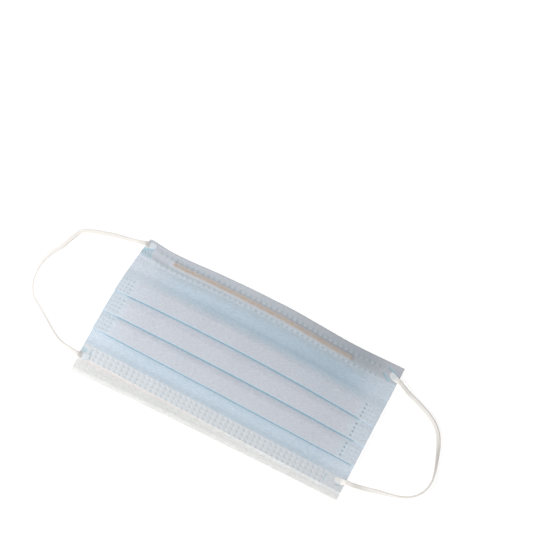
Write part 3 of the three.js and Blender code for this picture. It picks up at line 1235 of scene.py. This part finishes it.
@dataclass
class NoseWire:
    """The flat bendable wire that lies in the nose hem."""

    plan: MaskPlan
    ripples: Ripples
    level: float = 0.72 * MM
    half_width: float = 1.35 * MM
    half_thickness: float = 0.22 * MM
    stations: int = 60
    sides: int = 12
    squareness: float = 0.5

    def build(self, material: bpy.types.Material) -> bpy.types.Object:
        """Makes the wire as a flat strip with round edges, in its CAD node's place.

        Args:
            material: The wire's finish.

        Returns:
            The piece, seated and reported.
        """
        plan = self.plan
        along = np.linspace(-1.0, 1.0, self.stations)
        shares = (plan.wire_shift + along * plan.wire_half) / plan.half_width
        y = plan.wire_height(shares)
        x = plan.across(shares, y)
        z = self.level + self.half_thickness + self.ripples.lift(x, y)
        angles = np.linspace(0.0, 2 * math.pi, self.sides, endpoint=False)
        wide = np.sign(np.cos(angles)) * np.abs(np.cos(angles)) ** self.squareness * self.half_width
        thick = np.sign(np.sin(angles)) * np.abs(np.sin(angles)) ** self.squareness * self.half_thickness
        rings = np.stack([
            np.repeat(x[:, None], self.sides, axis=1),
            y[:, None] + wide[None, :],
            z[:, None] + thick[None, :],
        ], axis=2)
        piece = finish_mesh("wire_strip", rings.reshape(-1, 3), tube_faces(self.stations, self.sides))
        seat(piece, "nose_wire", (material,))
        return piece


def tube_faces(rings: int, sides: int) -> list[Face]:
    """Gives the faces of a tube of rings, with both ends closed.

    Args:
        rings: How many rings of vertices there are.
        sides: How many vertices each has.

    Returns:
        The faces as tuples of vertex numbers.
    """
    faces: list[Face] = []
    for ring in range(rings - 1):
        for side in range(sides):
            start, after = ring * sides + side, ring * sides + (side + 1) % sides
            faces.append((start, after, after + sides, start + sides))
    last = (rings - 1) * sides
    faces.append(tuple(range(sides - 1, -1, -1)))
    faces.append(tuple(range(last, last + sides)))
    return faces


@dataclass(frozen=True)
class LoopEnd:
    """Where one flattened end of an ear loop leaves the mask."""

    node: str
    side: int
    up: float
    heading: float
    melt: float
    drift: float = 0.0
    overhang: float = 1.2 * MM
    level: float = 3.1 * MM

    def exit(self, plan: MaskPlan) -> tuple[Array, Array]:
        """Gives the middle of the end's outer face and the direction in which the cord leaves.

        Args:
            plan: The mask's outline.

        Returns:
            The place and the direction.
        """
        y = self.up * plan.height
        x = float(plan.across(np.array(float(self.side)), np.array(y))) + self.side * self.overhang
        angle = math.radians(self.heading)
        return np.array([x, y, self.level]), np.array([math.cos(angle), math.sin(angle), 0.0])


@dataclass
class EarLoop:
    """One elastic ear loop with its two flattened ends, welded to the front of the mask."""

    plan: MaskPlan
    name: str
    node: str
    nose_end: LoopEnd
    chin_end: LoopEnd
    route: tuple[Place, ...]
    twist: float
    diameter: float = 2.5 * MM
    clearance: float = 0.05 * MM
    lead_in: float = 3.0 * MM
    end_length: float = 8.2 * MM
    half_wide: float = 1.5 * MM
    half_thick: float = 0.82 * MM
    groove: float = 0.26
    spacing: float = 0.4 * MM
    sides: int = 28
    wales: int = 7
    wale_depth: float = 0.085 * MM
    cloth_level: float = 1.15 * MM
    stitch_length: float = 1.25 * MM
    stitch_share: float = 0.35
    valley_half: float = 0.3
    floor_gap: float = 0.05 * MM
    end_step: float = 0.25 * MM
    end_half_thick: float = 0.22 * MM
    end_spread: float = 0.5 * MM
    sink_run: Span = (0.4 * MM, 4.2 * MM)
    drift_start: float = 0.5 * MM
    blunt_run: float = 2.4 * MM
    melt_run: Span = (1.5 * MM, 5.0 * MM)
    narrowing: float = 0.3
    thinning: float = 0.75
    twist_run: float = 0.06
    twist_centre: float = 0.35

    def path(self) -> Array:
        """Runs the cord's middle line from its exit at the nose to the one at the chin.

        Returns:
            Evenly spaced points, one row each.
        """
        start, start_way = self.nose_end.exit(self.plan)
        finish, finish_way = self.chin_end.exit(self.plan)
        reach = self.clearance + self.lead_in
        middle = [np.array([x, y, z + self.diameter / 2 / MM]) * MM for x, y, z in self.route]
        return centripetal_curve([
            start + start_way * self.clearance,
            start + start_way * reach,
            *middle,
            finish + finish_way * reach,
            finish + finish_way * self.clearance,
        ], self.spacing)

    def _rings(self, line: Array, wide: Array, thick: Array, twist: Array) -> Array:
        """Sweeps the knitted section along a line.

        Args:
            line: The middle of the cord, a point for each ring.
            wide: Half the section's width at each ring.
            thick: Half its thickness at each ring.
            twist: How far the section is turned at each ring, in radians.

        Returns:
            The vertices, a row for each ring.
        """
        ways = np.gradient(line, axis=0)
        ways /= np.linalg.norm(ways, axis=1)[:, None]
        flat = np.column_stack([-ways[:, 1], ways[:, 0], np.zeros(len(ways))])
        flat /= np.linalg.norm(flat, axis=1)[:, None]
        rise = np.cross(ways, flat)
        angles = np.linspace(0.0, 2 * math.pi, self.sides, endpoint=False)[None, :]
        travelled = np.arange(len(line))[:, None] * self.spacing
        wales = np.cos(self.wales * angles)
        stitches = np.sin(2 * math.pi * travelled / self.stitch_length + 3 * angles)
        valley = np.exp(-((np.cos(angles) / self.valley_half) ** 2))
        knit = (self.wale_depth / self.half_wide) * (wales + self.stitch_share * stitches)
        swell = 1 + knit - self.groove * valley
        across = wide[:, None] * np.cos(angles) * swell
        upward = thick[:, None] * np.sin(angles) * swell
        turned_across = across * np.cos(twist)[:, None] - upward * np.sin(twist)[:, None]
        turned_upward = across * np.sin(twist)[:, None] + upward * np.cos(twist)[:, None]
        aside = turned_across[:, :, None] * flat[:, None, :]
        above = turned_upward[:, :, None] * rise[:, None, :]
        return line[:, None, :] + aside + above

    def build(self, material: bpy.types.Material) -> list[bpy.types.Object]:
        """Makes the cord and both of its flattened ends.

        Args:
            material: The elastic's finish.

        Returns:
            The cord, then its two ends.
        """
        line = self.path()
        along = np.linspace(0.0, 1.0, len(line))
        ease = smooth_step(along, 0.0, self.twist_run) * (1 - smooth_step(along, 1 - self.twist_run, 1.0))
        swing = 2 * (along - self.twist_centre) * np.sin(math.pi * along) ** 2
        twist = self.twist * math.pi * swing * ease
        wide = np.full(len(line), self.half_wide)
        thick = np.full(len(line), self.half_thick)
        places = self._rings(line, wide, thick, twist)
        places[:, :, 2] = np.maximum(places[:, :, 2], self.floor_gap)
        cord = finish_mesh(self.name, places.reshape(-1, 3), tube_faces(len(line), self.sides))
        seat(cord, self.node, (material,))
        ends = [self._flat_end(end, material) for end in (self.nose_end, self.chin_end)]
        return [cord, *ends]

    def _flat_end(self, end: LoopEnd, material: bpy.types.Material) -> bpy.types.Object:
        """Makes one flattened end, from the round cord down to the cloth that it is welded on.

        Args:
            end: Where the end lies.
            material: The elastic's finish.

        Returns:
            The piece, seated and reported.
        """
        place, way = end.exit(self.plan)
        count = round(self.end_length / self.end_step) + 1
        back = np.linspace(0.0, self.end_length, count)
        sunk = smooth_step(back, *self.sink_run)
        line = place[None, :] - back[:, None] * way[None, :]
        line[:, 1] += end.drift * smooth_step(back, self.drift_start, self.end_length)
        line[:, 2] = place[2] + (self.cloth_level + self.end_half_thick - place[2]) * sunk
        blunt = smooth_step(back, self.end_length - self.blunt_run, self.end_length)
        wide = (self.half_wide + self.end_spread * sunk) * (1 - self.narrowing * blunt)
        thick = self.half_thick + (self.end_half_thick - self.half_thick) * sunk
        thick = thick * (1 - self.thinning * blunt)
        places = self._rings(line, wide, thick, np.zeros(count))
        faces = tube_faces(count, self.sides)
        piece = finish_mesh(end.node + "_weld", places.reshape(-1, 3), faces)
        melted = end.melt * smooth_step(back, *self.melt_run)
        mark_vertices(piece, "melted", np.repeat(melted, self.sides))
        seat(piece, end.node, (material,))
        return piece


class NodePen:
    """Adds nodes to a material and joins them in few words."""

    def __init__(self, name: str) -> None:
        """Starts a material with an empty tree, its output and its shader.

        Args:
            name: The material's name.
        """
        self.material = bpy.data.materials.new(name)
        self.material.use_nodes = True
        self.tree = self.material.node_tree
        self.tree.nodes.clear()
        self.output = self.tree.nodes.new("ShaderNodeOutputMaterial")
        self.shader = self.tree.nodes.new("ShaderNodeBsdfPrincipled")
        self.tree.links.new(self.shader.outputs["BSDF"], self.output.inputs["Surface"])

    def add(self, kind: str, **values: object) -> bpy.types.Node:
        """Adds a node and sets its own properties.

        Args:
            kind: The node's type.
            values: Its own properties.

        Returns:
            The new node.
        """
        node = self.tree.nodes.new(kind)
        for key, value in values.items():
            setattr(node, key, value)
        return node

    def join(self, source: bpy.types.NodeSocket, target: bpy.types.NodeSocket) -> None:
        """Links one socket to another."""
        self.tree.links.new(source, target)

    def mark(self, name: str) -> bpy.types.NodeSocket:
        """Reads a number stored on the vertices."""
        return self.add("ShaderNodeAttribute", attribute_name=name).outputs["Fac"]

    def place(self, scale: Place, turn: float = 0.0) -> bpy.types.NodeSocket:
        """Gives the place on the object, scaled and turned about its upright axis.

        Args:
            scale: The scale along each axis, in repeats for each metre.
            turn: The turn in radians.

        Returns:
            The scaled and turned place.
        """
        coordinates = self.add("ShaderNodeTexCoord")
        mapping = self.add("ShaderNodeMapping")
        mapping.inputs["Scale"].default_value = scale
        mapping.inputs["Rotation"].default_value = (0.0, 0.0, turn)
        self.join(coordinates.outputs["Object"], mapping.inputs["Vector"])
        return mapping.outputs["Vector"]

    def noise(self, scale: Place, detail: float, turn: float = 0.0) -> bpy.types.NodeSocket:
        """Gives soft noise at a scale in repeats for each metre.

        Args:
            scale: The scale along each axis.
            detail: How many finer layers it has.
            turn: The turn in radians.

        Returns:
            The noise, about 0.5 on average.
        """
        texture = self.add("ShaderNodeTexNoise")
        texture.inputs["Scale"].default_value = 1.0
        texture.inputs["Detail"].default_value = detail
        self.join(self.place(scale, turn), texture.inputs["Vector"])
        return texture.outputs["Fac"]

    def feed(self, socket: bpy.types.NodeSocket, value: object) -> None:
        """Links a socket to another one, or sets it to a plain value.

        Args:
            socket: The input socket.
            value: An output socket, a number or a colour.
        """
        if isinstance(value, bpy.types.NodeSocket):
            self.join(value, socket)
        else:
            socket.default_value = value

    def shade(self, **inputs: object) -> None:
        """Feeds the shader's inputs, named with underscores in place of spaces.

        Args:
            inputs: A socket, a number or a colour for each input.
        """
        for name, value in inputs.items():
            self.feed(self.shader.inputs[name.replace("_", " ")], value)

    def math(self, operation: str, first: object, second: object = 0.0) -> bpy.types.NodeSocket:
        """Combines two numbers or sockets.

        Args:
            operation: The kind of the sum, in Blender's words.
            first: A socket or a number.
            second: Another one.

        Returns:
            The result.
        """
        node = self.add("ShaderNodeMath", operation=operation)
        for socket, value in zip(node.inputs, (first, second)):
            self.feed(socket, value)
        return node.outputs[0]

    def blend(self, share: object, first: object, second: object) -> bpy.types.NodeSocket:
        """Mixes two colours by a share.

        Args:
            share: How much of the second colour there is.
            first: A socket or a colour.
            second: Another one.

        Returns:
            The mixed colour.
        """
        node = self.add("ShaderNodeMix", data_type="RGBA")
        for name, value in (("Factor", share), ("A", first), ("B", second)):
            self.feed(next(s for s in node.inputs if s.name == name and s.enabled), value)
        return next(s for s in node.outputs if s.enabled)

    def bump(self, height: bpy.types.NodeSocket, distance: float, strength: float) -> None:
        """Raises the surface by a height.

        Args:
            height: The height in shares of the distance.
            distance: How far a height of 1 stands out, in metres.
            strength: How strongly the light shows it.
        """
        node = self.add("ShaderNodeBump")
        node.inputs["Distance"].default_value = distance
        node.inputs["Strength"].default_value = strength
        self.join(height, node.inputs["Height"])
        self.shade(Normal=node.outputs["Normal"])


def paint(red: float, green: float, blue: float) -> Colour:
    """Turns screen colours from 0 to 255 into linear ones.

    Args:
        red: The red share.
        green: The green share.
        blue: The blue share.

    Returns:
        The linear colour, fully opaque.
    """
    def linear(value: float) -> float:
        share = value / 255
        return share / 12.92 if share <= 0.04045 else ((share + 0.055) / 1.055) ** 2.4
    return (linear(red), linear(green), linear(blue), 1.0)


@dataclass(frozen=True)
class Nonwoven:
    """Thin pressed fleece: fine tangled fibres with a regular grid of bonding points."""

    name: str
    single: Colour
    layered: Colour
    tints: tuple[Tint, ...] = ()
    prints: tuple[Tint, ...] = ()
    speckle: float = 0.35
    roughness: float = 0.78
    bond_pitch: float = 0.9 * MM
    bond_size: float = 0.42
    bond_steepness: float = 2.4
    bond_disorder: float = 0.12
    cloud_scale: Place = (38.0, 60.0, 40.0)
    mottle_scale: Place = (420.0, 420.0, 420.0)
    least_print: float = 0.45
    least_layered: float = 0.62
    cloud_strength: float = 0.7
    fibre_height: float = 0.05 * MM

    def bonds(self, pen: NodePen) -> bpy.types.NodeSocket:
        """Gives the grid of bonding points, turned to lie in diamonds.

        Args:
            pen: The material's nodes.

        Returns:
            A number above 0 at the bonding points.
        """
        per_metre = 1 / self.bond_pitch
        cells = pen.add("ShaderNodeTexVoronoi", feature="F1", distance="EUCLIDEAN")
        cells.inputs["Scale"].default_value = 1.0
        cells.inputs["Randomness"].default_value = self.bond_disorder
        pen.join(pen.place((per_metre, per_metre, 0.0), math.radians(45)), cells.inputs["Vector"])
        inside = pen.math("SUBTRACT", self.bond_size, cells.outputs["Distance"])
        return pen.math("MULTIPLY", inside, self.bond_steepness)

    def fibres(self, pen: NodePen) -> bpy.types.NodeSocket:
        """Gives tangled fibres that run mostly across the mask.

        Args:
            pen: The material's nodes.

        Returns:
            A number about 1 on average.
        """
        first = pen.noise((500.0, 1900.0, 700.0), 6.0, math.radians(12))
        second = pen.noise((450.0, 2100.0, 700.0), 5.0, math.radians(-24))
        return pen.math("ADD", first, second)

    @staticmethod
    def tinted(pen: NodePen, colour: object, tints: Sequence[Tint]) -> bpy.types.NodeSocket:
        """Lays tints over a colour, each as strongly as its mark on the cloth says.

        Args:
            pen: The material's nodes.
            colour: The colour under the tints.
            tints: Each tint's mark, its greatest share and its colour.

        Returns:
            The tinted colour.
        """
        for mark, share, tint in tints:
            colour = pen.blend(pen.math("MULTIPLY", pen.mark(mark), share), colour, tint)
        return colour

    def printed(self, pen: NodePen, colour: object) -> bpy.types.NodeSocket:
        """Lays the prints over a colour, unevenly, as weld dots are on fleece.

        Args:
            pen: The material's nodes.
            colour: The colour under the prints.

        Returns:
            The printed colour.
        """
        mottle = pen.math("ADD", self.least_print, pen.noise(self.mottle_scale, 2.0))
        for mark, share, tint in self.prints:
            worn = pen.math("MULTIPLY", mottle, share)
            colour = pen.blend(pen.math("MULTIPLY", pen.mark(mark), worn), colour, tint)
        return colour

    def colour(self, pen: NodePen) -> bpy.types.NodeSocket:
        """Gives the cloth's colour, cloudy where it lies in layers, with its tints and prints.

        Args:
            pen: The material's nodes.

        Returns:
            The colour without the speckle of the fibres.
        """
        clouds = pen.noise(self.cloud_scale, 3.0)
        patchy = pen.math("ADD", self.least_layered, pen.math("MULTIPLY", clouds, self.cloud_strength))
        layered = pen.math("MULTIPLY", pen.mark("layers"), patchy)
        plain = pen.blend(layered, self.single, self.layered)
        return self.printed(pen, self.tinted(pen, plain, self.tints))

    def material(self) -> bpy.types.Material:
        """Makes the finish, with fibres and bonding points in its colour and bump.

        Returns:
            The new material.
        """
        pen = NodePen(self.name)
        fibres, bonds = self.fibres(pen), self.bonds(pen)
        speckle = pen.math("MULTIPLY", pen.math("SUBTRACT", fibres, 1.0), self.speckle)
        scaled = pen.add("ShaderNodeVectorMath", operation="SCALE")
        pen.join(self.colour(pen), scaled.inputs[0])
        pen.join(pen.math("ADD", 1.0, speckle), scaled.inputs["Scale"])
        pen.shade(Base_Color=scaled.outputs[0], Roughness=self.roughness)
        pen.shade(Sheen_Weight=0.12, Specular_IOR_Level=0.3)
        pressed = pen.math("MULTIPLY", pen.math("MAXIMUM", bonds, 0.0), 0.8)
        pen.bump(pen.math("SUBTRACT", fibres, pressed), self.fibre_height, 0.7)
        return pen.material


@dataclass(frozen=True)
class HemCloth(Nonwoven):
    """White fleece over the blue cloth, which shows where the hem's lower edge is melted into it."""

    speckle: float = 0.3
    cloud_scale: Place = (45.0, 90.0, 40.0)
    under: Colour = (0.5, 0.6, 0.7, 1.0)
    below: tuple[Tint, ...] = ()
    # Painted shade laid over the prints, where the hem is painted darker towards the right.
    shade_veil: Tint = ("grey", 0.2, (0.4, 0.4, 0.5, 1.0))

    def colour(self, pen: NodePen) -> bpy.types.NodeSocket:
        """Gives the hem's colour over the blue cloth's, with its prints and painted shade over them.

        Args:
            pen: The material's nodes.

        Returns:
            The colour without the speckle of the fibres.
        """
        clouds = pen.noise(self.cloud_scale, 3.0)
        hem = self.tinted(pen, pen.blend(clouds, self.single, self.layered), self.tints)
        cloth = self.tinted(pen, self.under, self.below)
        joined = pen.blend(pen.mark("melt"), hem, cloth)
        return self.tinted(pen, self.printed(pen, joined), (self.shade_veil,))


@dataclass(frozen=True)
class Elastic:
    """Soft off-white knitted elastic."""

    light: Colour = paint(243, 239, 234)
    shade: Colour = paint(230, 225, 220)
    melted: Colour = paint(206, 216, 224)
    # Painted light: a faint glow that lightens the cord's shaded sides.
    painted_glow: Colour = (1.0, 0.97, 0.93, 1.0)
    painted_glow_strength: float = 0.055
    yarn_scale: Place = (2600.0, 2600.0, 2600.0)
    soft_scale: Place = (160.0, 160.0, 160.0)
    yarn_height: float = 0.08 * MM

    def material(self) -> bpy.types.Material:
        """Makes the finish, with fine loops of yarn in its colour and bump.

        Returns:
            The new material.
        """
        pen = NodePen("knitted_elastic")
        yarn = pen.noise(self.yarn_scale, 4.0)
        soft = pen.noise(self.soft_scale, 2.0)
        share = pen.math("MULTIPLY", pen.math("ADD", yarn, soft), 0.5)
        colour = pen.blend(pen.mark("melted"), pen.blend(share, self.light, self.shade), self.melted)
        pen.shade(Base_Color=colour, Roughness=0.85, Sheen_Weight=0.25)
        # Painted light: the cord glows a little.
        pen.shade(Emission_Color=self.painted_glow, Emission_Strength=self.painted_glow_strength)
        pen.bump(yarn, self.yarn_height, 0.6)
        return pen.material


@dataclass(frozen=True)
class CoatedWire:
    """Satin plastic over a steel core."""

    light: Colour = paint(205, 186, 168)
    shade: Colour = paint(190, 172, 156)
    drawn_scale: Place = (60.0, 3500.0, 3500.0)
    drawn_height: float = 0.02 * MM

    def material(self) -> bpy.types.Material:
        """Makes the finish, faintly drawn along its length.

        Returns:
            The new material.
        """
        pen = NodePen("coated_wire")
        drawn = pen.noise(self.drawn_scale, 2.0)
        pen.shade(Base_Color=pen.blend(drawn, self.light, self.shade), Roughness=0.45)
        pen.bump(drawn, self.drawn_height, 0.4)
        return pen.material


@dataclass
class Studio:
    """The pale surface, the soft lights and the camera."""

    lens: float = 156.57
    sensor: float = 36.0
    azimuth: float = 24.21
    elevation: float = 69.06
    roll: float = 3.36
    distance: float = 1.41198
    target: Place = (-14.8 * MM, 65.643 * MM, 0.0)
    clip: Span = (0.05, 20.0)
    floor_half: float = 3.0
    sky: float = 0.45
    glow: float = 0.45
    lamps: tuple[tuple[str, Place, float, float], ...] = (
        ("key", (-0.40, -0.30, 0.40), 0.3, 3.0),
        ("fill", (0.28, -0.32, 0.26), 0.25, 0.25),
    )

    def camera(self) -> None:
        """Places the camera at the photograph's angle."""
        azimuth, elevation, roll = (math.radians(v) for v in (self.azimuth, self.elevation, self.roll))
        back = Vector((
            math.sin(azimuth) * math.cos(elevation),
            -math.cos(azimuth) * math.cos(elevation),
            math.sin(elevation),
        ))
        right = Vector((math.cos(azimuth), math.sin(azimuth), 0.0))
        up = back.cross(right)
        turned_right = right * math.cos(roll) + up * math.sin(roll)
        turned_up = up * math.cos(roll) - right * math.sin(roll)
        data = bpy.data.cameras.new("camera")
        data.lens, data.sensor_width = self.lens, self.sensor
        data.clip_start, data.clip_end = self.clip
        camera = bpy.data.objects.new("camera", data)
        place = Vector(self.target) + back * self.distance
        axes = Matrix((turned_right, turned_up, back)).transposed().to_4x4()
        camera.matrix_world = Matrix.Translation(place) @ axes
        bpy.context.scene.collection.objects.link(camera)
        bpy.context.scene.camera = camera

    def floor(self) -> None:
        """Lays the pale surface under the mask."""
        half = self.floor_half
        corners = [(-half, -half, 0.0), (half, -half, 0.0), (half, half, 0.0), (-half, half, 0.0)]
        mesh = bpy.data.meshes.new("surface")
        mesh.from_pydata(corners, [], [(0, 1, 2, 3)])
        surface = bpy.data.objects.new("surface", mesh)
        bpy.context.scene.collection.objects.link(surface)
        pen = NodePen("pale_surface")
        pen.shade(Base_Color=(0.9, 0.9, 0.9, 1.0), Roughness=0.9)
        pen.shade(Emission_Color=(1.0, 1.0, 1.0, 1.0), Emission_Strength=self.glow)
        mesh.materials.append(pen.material)

    def light(self, name: str, place: Place, size: float, power: float) -> None:
        """Hangs one square soft light that faces the mask.

        Args:
            name: The light's name.
            place: Where it hangs, in metres.
            size: The length of its sides, in metres.
            power: Its power, in watts.
        """
        data = bpy.data.lights.new(name, "AREA")
        data.shape, data.size, data.energy = "SQUARE", size, power
        lamp = bpy.data.objects.new(name, data)
        lamp.location = place
        lamp.rotation_mode = "QUATERNION"
        lamp.rotation_quaternion = Vector(place).to_track_quat("Z", "Y")
        bpy.context.scene.collection.objects.link(lamp)

    def build(self) -> None:
        """Sets up the surface, the sky, the lights and the plain colour transform."""
        self.camera()
        self.floor()
        world = bpy.data.worlds.new("white_sky")
        world.use_nodes = True
        inputs = world.node_tree.nodes["Background"].inputs
        inputs["Color"].default_value = (1.0, 1.0, 1.0, 1.0)
        inputs["Strength"].default_value = self.sky
        bpy.context.scene.world = world
        for lamp in self.lamps:
            self.light(*lamp)
        bpy.context.scene.view_settings.view_transform = "Standard"


LEFT_ROUTE = (
    (-97.4, 41.3, 0.3),
    (-103.4, 40.4, 0.1),
    (-112.3, 38.0, 0.1),
    (-120.4, 35.4, 0.1),
    (-125.6, 32.2, 0.1),
    (-128.0, 27.2, 0.1),
    (-130.9, 18.6, 0.1),
    (-134.2, 12.6, 0.1),
    (-136.4, 6.4, 0.1),
    (-137.2, 0.1, 0.1),
    (-136.5, -6.5, 0.1),
    (-134.3, -13.0, 0.1),
    (-130.4, -18.3, 0.1),
    (-123.7, -22.9, 0.1),
    (-115.9, -28.0, 0.1),
    (-108.5, -32.9, 0.1),
    (-102.0, -36.0, 0.3),
)
RIGHT_ROUTE = (
    (98.6, 32.2, 0.3),
    (103.6, 30.5, 0.1),
    (109.0, 28.3, 0.1),
    (114.4, 25.9, 0.1),
    (119.6, 22.6, 0.1),
    (123.7, 18.4, 0.1),
    (126.7, 13.4, 0.1),
    (129.0, 7.9, 0.1),
    (131.0, 2.1, 0.1),
    (132.7, -3.9, 0.1),
    (133.6, -9.8, 0.1),
    (132.9, -15.5, 0.1),
    (130.3, -20.5, 0.1),
    (126.3, -24.4, 0.1),
    (120.6, -27.2, 0.1),
    (113.6, -29.2, 0.1),
    (105.9, -30.9, 0.1),
    (99.5, -32.5, 0.3),
)


LEFT_ENDS = (
    LoopEnd("loop_end_nose_left", -1, 0.447, 196, 0.85),
    LoopEnd("loop_end_chin_left", -1, -0.390, 180, 0.9, 1.5 * MM),
)
RIGHT_ENDS = (
    LoopEnd("loop_end_nose_right", 1, 0.370, -25, 0.75),
    LoopEnd("loop_end_chin_right", 1, -0.355, 5, 0.35),
)
OPEN_BLUE = paint(197, 212, 224)
SHARED_TINTS = (
    # painted shade above the pleats, stronger towards the right
    ("deep", 0.5, paint(153, 178, 195)),
    ("haze", 0.4, paint(178, 184, 190)),
    # painted light at the mask's ends
    ("pale", 0.5, paint(224, 231, 240)),
)
BLUE_FLEECE = Nonwoven(
    "blue_fleece",
    single=OPEN_BLUE,
    layered=paint(208, 212, 221),
    tints=(
        # painted shade on the slope above the pleats
        ("dip_shade", 0.24, paint(170, 196, 212)),
        ("seam", 1.0, paint(205, 216, 225)),
        *SHARED_TINTS,
        ("ground", 0.9, paint(214, 218, 222)),
        ("stitched", 0.6, paint(172, 200, 210)),
        # painted shade under the folds and in the pleats
        ("fold_shade", 1.0, paint(120, 160, 177)),
    ),
    prints=(("dash", 0.27, paint(182, 196, 205)), ("weld", 0.95, paint(150, 172, 184))),
)
WHITE_FLEECE = Nonwoven("white_fleece", single=paint(242, 242, 240), layered=paint(242, 242, 240))
STRIP_FLEECE = Nonwoven(
    "strip_fleece",
    single=paint(239, 239, 237),
    layered=paint(239, 239, 237),
    tints=(
        ("grey", 1.0, paint(232, 233, 234)),
        # painted shade towards the left end
        ("left", 1.0, paint(218, 220, 217)),
        ("blush", 0.7, paint(222, 217, 217)),
    ),
)
HEM_FLEECE = HemCloth(
    "hem_fleece",
    single=paint(192, 199, 207),
    layered=paint(203, 206, 214),
    tints=(
        # painted light at the mask's ends
        ("pale", 0.4, paint(224, 223, 233)),
        # painted shade towards the right
        ("grey", 0.36, paint(150, 157, 166)),
        ("row", 0.44, paint(158, 170, 176)),
    ),
    prints=(
        ("wire", 0.95, paint(193, 177, 163)),
        ("gleam", 0.5, paint(210, 216, 222)),
        ("tick", 0.6, paint(148, 170, 182)),
        ("loop_weld", 0.6, paint(150, 200, 216)),
    ),
    under=OPEN_BLUE,
    below=SHARED_TINTS,
    # painted shade over the prints
    shade_veil=("grey", 0.24, paint(142, 148, 156)),
)


def main() -> None:
    """Builds the mask piece by piece and reports each one."""
    logging.basicConfig(level=logging.INFO, format="%(message)s")
    plan = MaskPlan.from_frame()
    ripples = Ripples()
    Studio().build()
    elastic = Elastic().material()
    left = EarLoop(plan, "elastic_loop_left", "ear_loop_left", *LEFT_ENDS, LEFT_ROUTE, twist=0.45)
    right = EarLoop(plan, "elastic_loop_right", "ear_loop_right", *RIGHT_ENDS, RIGHT_ROUTE, twist=-1.2)
    left.build(elastic)
    right.build(elastic)
    blue, white = BLUE_FLEECE.material(), WHITE_FLEECE.material()
    strip, hem = STRIP_FLEECE.material(), HEM_FLEECE.material()
    panel = PleatedPanel(plan, ripples).build(blue, white)
    nose = NoseHem(plan, ripples).build(hem, white)
    chin = ChinHem(plan, ripples).build(strip, strip)
    wire = NoseWire(plan, ripples).build(CoatedWire().material())


if __name__ == "__main__":
    main()
